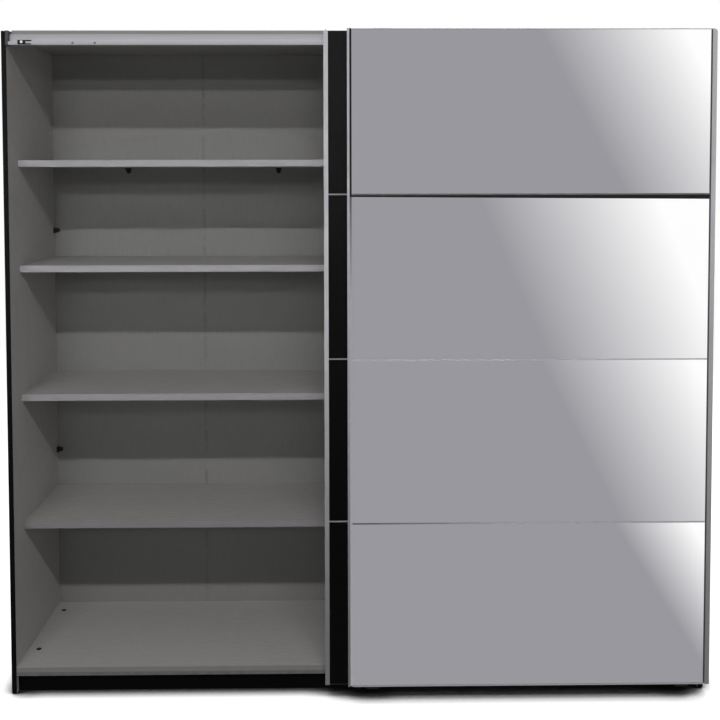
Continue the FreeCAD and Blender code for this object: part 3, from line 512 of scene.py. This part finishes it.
def makeBlackGlass(name):
    s = glassSettings
    finish, tree, shader = startFinish(name, s["plain"], s["roughness"], specular=s["specular"])
    specks = addNoise(tree, objectCoords(tree), s["dustScale"], detail=2.0)
    dust = addRange(tree, specks, *s["dustEdges"], 0.0, s["dustShare"])
    # painted sheen in the colour, rising with height
    paintedSheen = addRamp(tree, addRange(tree, placePart(tree, "Z"), 0.0, s["height"]), s["paintedSheen"])
    wire(tree, mixColors(tree, dust, paintedSheen, s["dust"]), shader.inputs["Base Color"])
    smearCoords = objectCoords(tree, (1.0, 1.0, s["smearHeight"]))
    smears = addNoise(tree, smearCoords, s["smearScale"], detail=5.0, roughness=0.6)
    spread = addRange(tree, smears, *s["smearEdges"], *s["roughSpread"])
    wire(tree, spread, shader.inputs["Roughness"])
    return finish


jointSettings = {
    # the lowest and the highest joint profile of the mirror door are duller than the middle one
    "steps": (0.0, 2.145, [(0.38, 0.22), (0.40, 1.02), (0.62, 1.02), (0.64, 0.26)]),
    "lowTop": 0.80,            # the lowest one lies under this height
    "turn": (0.05, 0.50),      # and brightens across the door between these places
    "bright": (0.43, 0.426, 0.450),
    "tones": ((0.42, 0.42, 0.44), (0.50, 0.50, 0.52)),
}


def makeJoint(name):
    s = jointSettings
    finish = makeAluminium(name, 0, s["tones"], steps=s["steps"])
    tree = finish.node_tree
    baseColor = tree.nodes["Principled BSDF"].inputs["Base Color"]
    low = addMath(tree, "LESS_THAN", placePart(tree, "Z"), s["lowTop"])
    share = addMath(tree, "MULTIPLY", low, addRange(tree, placePart(tree, "X"), *s["turn"]))
    wire(tree, mixColors(tree, share, baseColor.links[0].from_socket, s["bright"]), baseColor)
    return finish


rubberSettings = {
    "roughness": 0.65,
    "roughSpread": (0.58, 0.72),
    "specular": 0.1,
    "black": (0.010, 0.010, 0.010),
    "rightGrey": (0.070, 0.070, 0.072),    # the strip on the handle side is a duller grey
    "rightStart": 0.5,                     # place along X from which a strip is the right one
    "silver": (0.440, 0.434, 0.468),       # below the upper mirror the left strip gets a painted reflection like the glass
    "dimSilver": (0.150, 0.148, 0.160),
    "silverTurn": (1.30, 1.618),           # heights between which the painted reflection dims, up to where it ends
    "skinLength": 0.2,
    "skinScale": 900.0,
    "skinEdges": (0.35, 0.7),
    "skinLift": 1.25,
    "skinDepth": 0.00004,
    "skinRelief": 0.5,
}


def makeRubber(name):
    s = rubberSettings
    finish, tree, shader = startFinish(name, s["black"], s["roughness"], specular=s["specular"])
    skin = addNoise(tree, objectCoords(tree, (1.0, 1.0, s["skinLength"])), s["skinScale"], detail=2.0)
    right = addMath(tree, "GREATER_THAN", placePart(tree, "X"), s["rightStart"])
    color = mixColors(tree, right, s["black"], s["rightGrey"])
    lifted = scaleColor(tree, color, s["skinLift"])
    color = mixColors(tree, addRange(tree, skin, *s["skinEdges"]), color, lifted)
    # painted reflection on the left strip below the upper mirror
    height = placePart(tree, "Z")
    silver = mixColors(tree, addRange(tree, height, *s["silverTurn"]), s["silver"], s["dimSilver"])
    low = addMath(tree, "LESS_THAN", height, s["silverTurn"][1])
    paintedReflectionShare = addMath(tree, "MULTIPLY", low, addMath(tree, "SUBTRACT", 1.0, right))
    wire(tree, mixColors(tree, paintedReflectionShare, color, silver), shader.inputs["Base Color"])
    wire(tree, paintedReflectionShare, shader.inputs["Metallic"])
    varyRoughness(tree, shader, skin, *s["roughSpread"])
    addBump(tree, shader, skin, s["skinDepth"], s["skinRelief"])
    return finish


plasticSettings = {
    "specular": 0.15,
    "skinScale": 2400.0,
    "skinDepth": 0.00005,
    "skinRelief": 0.5,
    "cloudScale": 40.0,
    "cloudEdges": (0.35, 0.75),
    "fadedLift": 1.3,
    "fadedGrey": 0.003,
    # roughness varies by this much below and above
    "smoother": 0.05,
    "rougher": 0.08,
}


def makePlastic(name, color, roughness):
    # moulded plastic with a fine spark-eroded skin
    s = plasticSettings
    finish, tree, shader = startFinish(name, color, roughness, specular=s["specular"])
    skin = addNoise(tree, objectCoords(tree), s["skinScale"], detail=2.0)
    clouds = addNoise(tree, objectCoords(tree), s["cloudScale"])
    faded = tuple(part * s["fadedLift"] + s["fadedGrey"] for part in color)
    shade = mixColors(tree, addRange(tree, clouds, *s["cloudEdges"]), color, faded)
    wire(tree, shade, shader.inputs["Base Color"])
    varyRoughness(tree, shader, skin, roughness - s["smoother"], roughness + s["rougher"])
    addBump(tree, shader, skin, s["skinDepth"], s["skinRelief"])
    return finish


steelSettings = {
    "metallic": 0.9,
    "cellScale": 170.0,
    "cloudScale": 60.0,
    "dull": 0.78,
    "smoother": 0.08,
    "rougher": 0.1,
    "depth": 0.00003,
    "relief": 0.5,
}


def makePlatedSteel(name, color, roughness):
    # zinc plating with a faint spangle
    s = steelSettings
    finish, tree, shader = startFinish(name, color, roughness, metallic=s["metallic"])
    cells = addNode(tree, "ShaderNodeTexVoronoi")
    cells.inputs["Scale"].default_value = s["cellScale"]
    wire(tree, objectCoords(tree), cells.inputs["Vector"])
    clouds = addNoise(tree, objectCoords(tree), s["cloudScale"], detail=4.0)
    dull = tuple(part * s["dull"] for part in color)
    shade = mixColors(tree, addMath(tree, "MULTIPLY", cells.outputs["Distance"], clouds), color, dull)
    wire(tree, shade, shader.inputs["Base Color"])
    varyRoughness(tree, shader, clouds, roughness - s["smoother"], roughness + s["rougher"])
    addBump(tree, shader, clouds, s["depth"], s["relief"])
    return finish


# Finishes of the CAD pieces

metal, blackFoil = aluminiumSettings, blackFoilSettings
finishes = {
    # one for each slot
    "carcass_board": makeFoil("shelfFoil", 0),
    "side_board": makeSideBoard("sideBoardFoil"),
    "plinth_board": makeBlackFoil("plinthFoil", blackFoil["plinthBase"], blackFoil["plinthSpecular"]),
    "back_board": makeBackBoard("backWallPrint"),
    "back_strip": makePlastic("seamStripPlastic", (0.20, 0.195, 0.185), 0.5),
    "black_plastic": makePlastic("blackPlastic", (0.008, 0.008, 0.008), 0.5),
    "grey_plastic": makePlastic("endCapPlastic", (0.070, 0.070, 0.072), 0.5),
    "white_plastic": makePlastic("whitePlastic", (0.74, 0.74, 0.72), 0.4),
    "pin_steel": makePlatedSteel("platedSteel", (0.42, 0.42, 0.43), 0.38),
    "rail_chrome": makePlatedSteel("railChrome", (0.62, 0.62, 0.64), 0.14),
    "track_aluminium": makeAluminium("trackAluminium", 0, metal["track"], steps=metal["trackSteps"]),
    "door_aluminium": makeAluminium("stileAluminium", 2, metal["stile"], paintedFalloff=metal["stilePaintedFalloff"]),
    "black_aluminium": makeAluminium("blackAluminium", 0, metal["black"]),
    "door_leaf": makeBlackFoil("leafFoil", blackFoil["base"], blackFoil["specular"]),
    "black_glass": makeBlackGlass("blackGlass"),
    "gasket_rubber": makePlastic("gasketRubber", (0.010, 0.010, 0.010), 0.65),
}
# painted light: lighter copies of the stile aluminium, for the stiles that take more light
brightStile = makeAluminium("rearStileAluminium", 2, metal["rearStile"], paintedFalloff=metal["rearStilePaintedFalloff"])
rightStile = makeAluminium("rightStileAluminium", 2, metal["rightStile"], paintedFalloff=metal["rightStilePaintedFalloff"])
ownFinishes = {
    # pieces whose finish differs from the rest of their slot
    "centre_partition": makeFoil("partitionFoil", 2),
    "lower_guide_track": makePlastic("guidePlastic", (0.150, 0.147, 0.143), 0.5),
    "rear_door_stile_left": brightStile,
    "rear_door_stile_right": brightStile,
    "front_door_stile_right": rightStile,
    # the lip under the mirror is as bright as the glass, and the one under the black glass is painted dark
    # for the shade it lies in
    "front_door_bottom_rail": makeAluminium("mirrorRailAluminium", 0, metal["mirrorRail"]),
    "rear_door_bottom_rail": makeAluminium("rearRailAluminium", 0, metal["rearRail"], specular=0.12),
    "front_door_dividers": makeJoint("jointAluminium"),
    "rear_door_dividers": makeAluminium("rearJointAluminium", 0, metal["rearJoint"]),
    "front_door_gaskets": makeRubber("gasketRubberWithPaintedReflection"),
}
# painted light and shade on the top and bottom boards
for label, share in foilSettings["paintedLightShares"].items():
    ownFinishes[label] = makeFoil(label + "_foil_painted_light", 0, share)
for label, (start, lean, width) in mirrorSettings["panels"].items():
    ownFinishes[label] = makeMirror("mirror_" + label[-1], start, lean, width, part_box(label)[1][2])
print("finishes made for", len(finishes), "slots and", len(ownFinishes), "single pieces")


def dress(piece, finish):
    if not piece.material_slots:
        piece.data.materials.append(finish)
    for place in piece.material_slots:
        place.material = finish


slotOf = {part["node"]: part["material_slot"] for part in frame["record"]["subparts"]}
for label, piece in nodes.items():
    dress(piece, ownFinishes[label] if label in ownFinishes else finishes[slotOf[label]])
print("nodes dressed")


# Mesh helpers

sharpFrom = 40     # degrees between faces, from which an edge of a turned part stays sharp


def closeMesh(name, build, smooth=False):
    bmesh.ops.recalc_face_normals(build, faces=build.faces[:])
    mesh = bpy.data.meshes.new(name)
    build.to_mesh(mesh)
    build.free()
    if smooth:
        mesh.polygons.foreach_set("use_smooth", [True] * len(mesh.polygons))
        mesh.set_sharp_from_angle(angle=radians(sharpFrom))
    piece = bpy.data.objects.new(name, mesh)
    bpy.context.scene.collection.objects.link(piece)
    return piece


def addBlock(build, low, high, radius):
    # a box with rounded arrises, added to the mesh being built
    low, high = Vector(low), Vector(high)
    made = bmesh.ops.create_cube(build, size=1.0)["verts"]
    for vertex in made:
        vertex.co = Vector(low[i] + (vertex.co[i] + 0.5) * (high[i] - low[i]) for i in range(3))
    edges = list({edge for vertex in made for edge in vertex.link_edges})
    bmesh.ops.bevel(build, geom=edges, offset=radius, segments=2, profile=0.5, affect="EDGES")


def roundedBlocks(name, boxes, radius):
    build = bmesh.new()
    for low, high in boxes:
        addBlock(build, low, high, radius)
    return closeMesh(name, build)


def turnedHeads(name, profile, places, axis, count=16):
    # small turned parts: profile is a list of (radius, height) in millimetres along the axis
    build = bmesh.new()
    turn = Vector(axis).to_track_quat("Z", "Y")
    for place in places:
        rings = []
        for radius, height in profile:
            steps = count if radius > 0 else 1
            ring = []
            for k in range(steps):
                angle = 2 * pi * k / count
                spot = Vector((radius * cos(angle), radius * sin(angle), height)) / 1000
                ring.append(build.verts.new(Vector(place) + turn @ spot))
            rings.append(ring)
        pairs = list(zip(rings, rings[1:]))
        if len(rings[-1]) > 1:
            pairs.append((rings[-1], rings[0]))     # a ring closes round its own foot
        else:
            build.faces.new(rings[0])               # a head gets a flat foot
        for lower, upper in pairs:
            for k in range(count):
                low = [lower[k % len(lower)], lower[(k + 1) % len(lower)]]
                high = [upper[(k + 1) % len(upper)], upper[k % len(upper)]]
                build.faces.new(list(dict.fromkeys(low + high)))     # the centre of a head counts once
    return closeMesh(name, build, smooth=True)


def seat(piece, finish, body):
    dress(piece, finish)
    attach(piece, body)


# Edge bands on the front edges of the boards

bandSettings = {
    "thickness": 0.0006,
    "round": 0.00025,
    "lightTone": (0.394, 0.389, 0.406),
    "lowTone": (0.540, 0.534, 0.545),     # the bottom board's band, painted lighter than the same band on the other boards, against the shade under it
    "blackTone": (0.012, 0.012, 0.0122),
    # painted shade on the bands, darker towards the floor: low height, high height, share left at the bottom
    "paintedFalloff": (0.0, 1.45, 0.47),
    "blackPaintedFalloff": (0.4, 2.0, 0.35),
    "roughness": 0.42,
    "roughSpread": (0.36, 0.5),
    "specular": 0.15,
    "blackSpecular": 0.02,
    "streakLength": 0.05,
    "streakScale": 700.0,
    "streakEdges": (0.35, 0.7),
    "streakTone": 0.9,
    "streakDepth": 0.00003,
    "streakRelief": 0.5,
    "light": ["shelf_1", "shelf_2", "shelf_3", "shelf_4", "hat_shelf", "centre_partition", "top_panel"],
    "low": ["bottom_panel"],
    "black": ["side_panel_left", "side_panel_right"],
}


def makeBandFinish(name, color, paintedFalloff, specular):
    s = bandSettings
    finish, tree, shader = startFinish(name, color, s["roughness"], specular=specular)
    streaks = addNoise(tree, objectCoords(tree, (s["streakLength"], 1.0, 1.0)), s["streakScale"])
    darker = tuple(part * s["streakTone"] for part in color)
    streaked = mixColors(tree, addRange(tree, streaks, *s["streakEdges"]), color, darker)
    wire(tree, paintShadeTowardsFloor(tree, streaked, paintedFalloff), shader.inputs["Base Color"])
    varyRoughness(tree, shader, streaks, *s["roughSpread"])
    addBump(tree, shader, streaks, s["streakDepth"], s["streakRelief"])
    return finish


def makeBands():
    s = bandSettings
    bandFinishes = {
        "light": makeBandFinish("lightEdgeBand", s["lightTone"], s["paintedFalloff"], s["specular"]),
        "low": makeBandFinish("lowEdgeBand", s["lowTone"], s["paintedFalloff"], s["specular"]),
        "black": makeBandFinish("blackEdgeBand", s["blackTone"], s["blackPaintedFalloff"], s["blackSpecular"]),
    }
    for kind, finish in bandFinishes.items():
        for label in s[kind]:
            low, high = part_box(label)
            bandLow = (low[0], low[1] - s["thickness"], low[2])
            bandHigh = (high[0], low[1], high[2])
            band = roundedBlocks(label + "_edge_band", [(bandLow, bandHigh)], s["round"])
            seat(band, finish, "carcass")


makeBands()
print("edge bands made")


# Screws, nails and caps

headSettings = {
    # profiles as (radius, height) in millimetres, from the rim up to the recess
    "panScrew": [(4.0, -0.3), (4.0, 0.5), (3.6, 1.2), (2.4, 1.7), (1.3, 1.8), (1.1, 0.9), (0.0, 0.8)],
    "trackScrew": [(3.4, -0.2), (3.4, 0.15), (3.0, 0.3), (1.5, 0.35), (1.2, -0.1), (0.0, -0.15)],
    "nail": [(1.9, -0.2), (1.9, 0.25), (1.2, 0.5), (0.0, 0.55)],
    "connectorLid": [(8.2, -0.1), (8.2, 0.25), (7.6, 0.5), (4.0, 0.62), (3.2, 0.5), (2.6, 0.15), (0.0, 0.1)],
    "bearing": [(7.2, -0.1), (7.2, 0.22), (6.7, 0.3), (5.0, 0.3),
                (4.7, 0.12), (3.4, 0.12), (3.2, 0.28), (3.1, -0.1)],
    # places in metres from here on
    "trackScrews": (-0.902, -0.832, 0.832, 0.902),
    "trackScrewHeight": 2.1058,
    "lidsAcross": (-1.080, 1.080),
    "lidsDeep": (-0.111, 0.218),
    "axles": {"rear_door_roller_left": 0.004, "rear_door_roller_right": 0.943,
              "front_door_roller_left": 0.078, "front_door_roller_right": 1.017},
    "axleHeight": 2.116,
}

plateSettings = {
    # screws through the plates: where each door's two plates start, and the face that the heads stand on
    "hanger": {
        "plates": {"rear_door": ((-0.026, 0.913), -0.2635), "front_door": ((0.048, 0.987), -0.288)},
        "steps": (0.012, 0.048),
        "heights": (2.063, 2.086),
    },
    "shoe": {
        "plates": {"rear_door": ((-0.049, 0.956), -0.262), "front_door": ((0.025, 1.030), -0.288)},
        "steps": (0.009, 0.031),
        "heights": (0.0775,),
    },
}

nailSettings = {
    "boards": ("shelf_1", "shelf_3", "hat_shelf"),
    "inset": 0.04,
    "pitch": 0.138,
    "seam": 0.561,             # no nail goes through the strips at this distance from the middle
    "seamClear": 0.012,
    "partitionCount": 15,
    "partitionStart": 0.13,
    "partitionPitch": 0.139,
    "partitionSides": (-0.0042, 0.0042),
    "corners": 10,
}

forward, backward, upward = (0, -1, 0), (0, 1, 0), (0, 0, 1)
zincHeads = makePlatedSteel("zincHeads", (0.40, 0.40, 0.41), 0.35)
darkHeads = makePlatedSteel("darkHeads", (0.030, 0.030, 0.031), 0.45)
capPlastic = makePlastic("capPlastic", (0.009, 0.009, 0.009), 0.42)
ringPlastic = makePlastic("ringPlastic", (0.045, 0.045, 0.047), 0.4)


def makeTrackScrews():
    s = headSettings
    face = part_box("upper_track")[0][1]
    spots = [(x, face, s["trackScrewHeight"]) for x in s["trackScrews"]]
    screws = turnedHeads("track_screws", s["trackScrew"], spots, forward)
    seat(screws, darkHeads, "carcass")


def makePlateScrews():
    # heads towards the carcass
    for kind, s in plateSettings.items():
        for door, (starts, face) in s["plates"].items():
            spots = [(start + step, face, height) for start in starts
                     for step in s["steps"] for height in s["heights"]]
            screws = turnedHeads(door + "_" + kind + "_screws", headSettings["panScrew"], spots, backward)
            seat(screws, zincHeads, door)


def makeNails():
    # through the back wall into the fixed shelves and the partition
    s = nailSettings
    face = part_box("back_panel_1")[1][1]
    spots = []
    for label in s["boards"]:
        low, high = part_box(label)
        height = low[2] + 0.5 * (high[2] - low[2])
        run = high[0] - low[0] - 2 * s["inset"]
        count = int(run / s["pitch"])
        for k in range(count + 1):
            x = low[0] + s["inset"] + k * run / count
            if abs(abs(x) - s["seam"]) > s["seamClear"]:
                spots.append((x, face, height))
    for k in range(s["partitionCount"]):
        for x in s["partitionSides"]:
            spots.append((x, face, s["partitionStart"] + k * s["partitionPitch"]))
    nails = turnedHeads("back_wall_nails", headSettings["nail"], spots, backward, s["corners"])
    seat(nails, zincHeads, "carcass")


def makeLids():
    # on the connector fittings in the bottom board
    s = headSettings
    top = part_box("cam_caps")[1][2]
    spots = [(x, y, top) for x in s["lidsAcross"] for y in s["lidsDeep"]]
    lids = turnedHeads("connector_lids", s["connectorLid"], spots, upward, 28)
    seat(lids, capPlastic, "carcass")


def makeBearings():
    # rings on both faces of every roller
    s = headSettings
    for label, x in s["axles"].items():
        low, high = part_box(label)
        body = label.replace("_door", "")
        for side, y, axis in (("front", low[1], forward), ("rear", high[1], backward)):
            ring = turnedHeads(label + "_ring_" + side, s["bearing"], [(x, y, s["axleHeight"])], axis, 24)
            seat(ring, ringPlastic, body)


makeTrackScrews()
makePlateScrews()
makeNails()
makeLids()
makeBearings()
print("screws, nails and caps made")


# Door trim

gapShadowSettings = {
    # dark sheet that stands for the shade in the gap under the upper joint profile of the mirror door; it
    # grows wider to the right
    "top": 1.6238,
    "leftDrop": 0.0060,
    "rightDrop": 0.0140,
    "thickness": 0.0007,
    "round": 0.3,              # share of the thickness
}


def makeGapShadowSheet():
    s = gapShadowSettings
    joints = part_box("front_door_dividers")
    left, right = joints[0][0], joints[1][0]
    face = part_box("front_door_panel_3")[0][1]
    top = s["top"]
    build = bmesh.new()
    outline = [(left, top), (right, top), (right, top - s["rightDrop"]), (left, top - s["leftDrop"])]
    front = [build.verts.new((x, face - s["thickness"], z)) for x, z in outline]
    rear = [build.verts.new((x, face, z)) for x, z in outline]
    build.faces.new(front)
    build.faces.new(rear)
    for k in range(4):
        build.faces.new((front[k], front[(k + 1) % 4], rear[(k + 1) % 4], rear[k]))
    width = s["thickness"] * s["round"]
    bmesh.ops.bevel(build, geom=build.edges[:], offset=width, segments=2, profile=0.5, affect="EDGES")
    strip = closeMesh("mirror_gap_shadow_sheet", build)
    seat(strip, finishes["gasket_rubber"], "front_door")


plugSettings = {
    # stile: the ends that show a plug; the others are taken by the hangers or the peg
    "ends": {
        "front_door_stile_left": ("low", "high"),
        "front_door_stile_right": ("low",),
        "rear_door_stile_right": ("low", "high"),
        "rear_door_stile_left": ("low",),
    },
    "inset": 0.0006,
    "lip": 0.0009,
    "round": 0.0004,
}


def makePlugs():
    # lids that close the hollow stiles
    s = plugSettings
    for label, ends in s["ends"].items():
        low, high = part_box(label)
        left, right = low[0] + s["inset"], high[0] - s["inset"]
        front, rear = low[1] + s["inset"], high[1] - s["inset"]
        heights = {"low": (low[2] - s["lip"], low[2]), "high": (high[2], high[2] + s["lip"])}
        boxes = []
        for end in ends:
            foot, top = heights[end]
            boxes.append(((left, front, foot), (right, rear, top)))
        plugs = roundedBlocks(label + "_plugs", boxes, s["round"])
        seat(plugs, capPlastic, label[:label.index("_stile")])


makeGapShadowSheet()
makePlugs()
print("door trim made")


# Floor, world, lamps and camera

stageSettings = {
    "floorSize": 30.0,
    "floorColor": (0.80, 0.80, 0.80),
    "floorRoughness": 0.9,
    "floorSpecular": 0.1,
    "floorGlow": 0.80,                   # brings the lit floor up to white, so that it keeps the shadow
    "bounceNear": (0.14, 0.14, 0.14),    # what the floor throws back into the low bays
    "bounceFar": (0.58, 0.58, 0.58),
    "bounceEdges": (0.5, 3.2),           # distances from the middle between which one turns into the other
    # painted contact shadow on the floor: reach, samples, edges and tone
    "contactReach": 0.085,
    "contactSamples": 12,
    "contactEdges": (0.48, 0.86),
    "contactTone": (0.03, 0.03, 0.03),
    "ambient": 0.20,
}


def makeFloor():
    s = stageSettings
    half = s["floorSize"] / 2
    mesh = bpy.data.meshes.new("floor")
    corners = [(-half, -half, 0.0), (half, -half, 0.0), (half, half, 0.0), (-half, half, 0.0)]
    mesh.from_pydata(corners, [], [(0, 1, 2, 3)])
    floor = bpy.data.objects.new("floor", mesh)
    bpy.context.scene.collection.objects.link(floor)
    finish, tree, shader = startFinish("floorFinish", s["floorColor"], s["floorRoughness"],
                                       specular=s["floorSpecular"])
    path = addNode(tree, "ShaderNodeLightPath")
    # the camera sees a white floor with a painted contact shadow: a soft dark line where the piece stands
    contact = addNode(tree, "ShaderNodeAmbientOcclusion", samples=s["contactSamples"])
    contact.inputs["Distance"].default_value = s["contactReach"]
    clear = addRange(tree, contact.outputs["AO"], *s["contactEdges"])
    seen = mixColors(tree, clear, s["contactTone"], s["floorColor"])
    away = addRange(tree, addMath(tree, "ABSOLUTE", placePart(tree, "Y")), *s["bounceEdges"])
    bounce = mixColors(tree, away, s["bounceNear"], s["bounceFar"])
    tone = mixColors(tree, path.outputs["Is Camera Ray"], bounce, seen)
    wire(tree, tone, shader.inputs["Base Color"])
    glow = addNode(tree, "ShaderNodeEmission")
    glowing = addMath(tree, "MULTIPLY", path.outputs["Is Camera Ray"], s["floorGlow"])
    wire(tree, addMath(tree, "MULTIPLY", glowing, clear), glow.inputs["Strength"])
    lit = addNode(tree, "ShaderNodeAddShader")
    wire(tree, shader.outputs["BSDF"], lit.inputs[0])
    wire(tree, glow.outputs["Emission"], lit.inputs[1])
    # metal and glass mirror it as plain white
    white = addNode(tree, "ShaderNodeEmission")
    choice = addNode(tree, "ShaderNodeMixShader")
    wire(tree, path.outputs["Is Glossy Ray"], choice.inputs["Fac"])
    wire(tree, lit.outputs["Shader"], choice.inputs[1])
    wire(tree, white.outputs["Emission"], choice.inputs[2])
    wire(tree, choice.outputs["Shader"], tree.nodes["Material Output"].inputs["Surface"])
    dress(floor, finish)


def makeWorld():
    world = bpy.data.worlds.new("studio")
    bpy.context.scene.world = world
    world.use_nodes = True
    tree = world.node_tree
    background = tree.nodes["Background"]
    background.inputs["Color"].default_value = (1.0, 1.0, 1.0, 1.0)
    path = addNode(tree, "ShaderNodeLightPath")
    seen = addMath(tree, "MAXIMUM", path.outputs["Is Camera Ray"], path.outputs["Is Glossy Ray"])
    seen = addMath(tree, "MAXIMUM", seen, path.outputs["Is Transmission Ray"])
    wire(tree, addRange(tree, seen, 0.0, 1.0, stageSettings["ambient"], 1.0), background.inputs["Strength"])


lampSettings = {
    # name: place, aim, width, height, power, spread in degrees
    "nearTube": ((-0.45, -4.08, 3.74), (-0.45, -4.08, 0.0), 4.0, 0.20, 186.0, 180.0),
    "middleTube": ((0.0, -8.6, 3.60), (0.0, 0.0, 3.0), 6.0, 0.16, 14.0, 40.0),
    "farTube": ((0.0, -14.0, 3.60), (0.0, 0.0, 3.4), 9.0, 0.22, 14.0, 31.0),
    "backPanel": ((1.2, 4.6, 3.2), (0.0, 0.3, 1.0), 2.4, 2.4, 110.0, 180.0),
}


def makeLamp(name, place, aim, width, height, power, spread):
    light = bpy.data.lights.new(name, "AREA")
    light.shape = "RECTANGLE"
    light.size = width
    light.size_y = height
    light.energy = power
    light.spread = radians(spread)
    lamp = bpy.data.objects.new(name, light)
    lamp.location = place
    lamp.rotation_mode = "QUATERNION"
    lamp.rotation_quaternion = (Vector(aim) - Vector(place)).to_track_quat("-Z", "Y")
    lamp.visible_camera = False
    lamp.visible_glossy = False
    bpy.context.scene.collection.objects.link(lamp)


cameraSettings = {
    "place": (-0.052, -3.7177, 1.6778),
    "turn": (87.31, 0.10, -0.835),     # degrees
    "lens": 54.126,
    "sensor": 36.0,
    "shift": (0.0034, -0.1822),
}


def makeCamera():
    s = cameraSettings
    data = bpy.data.cameras.new("camera")
    data.sensor_width = s["sensor"]
    data.lens = s["lens"]
    data.shift_x, data.shift_y = s["shift"]
    camera = bpy.data.objects.new("camera", data)
    camera.location = s["place"]
    camera.rotation_euler = [radians(angle) for angle in s["turn"]]
    bpy.context.scene.collection.objects.link(camera)
    bpy.context.scene.camera = camera


makeFloor()
makeWorld()
for lampName, values in lampSettings.items():
    makeLamp(lampName, *values)
makeCamera()
bpy.context.scene.view_settings.view_transform = "Standard"
print("stage set")
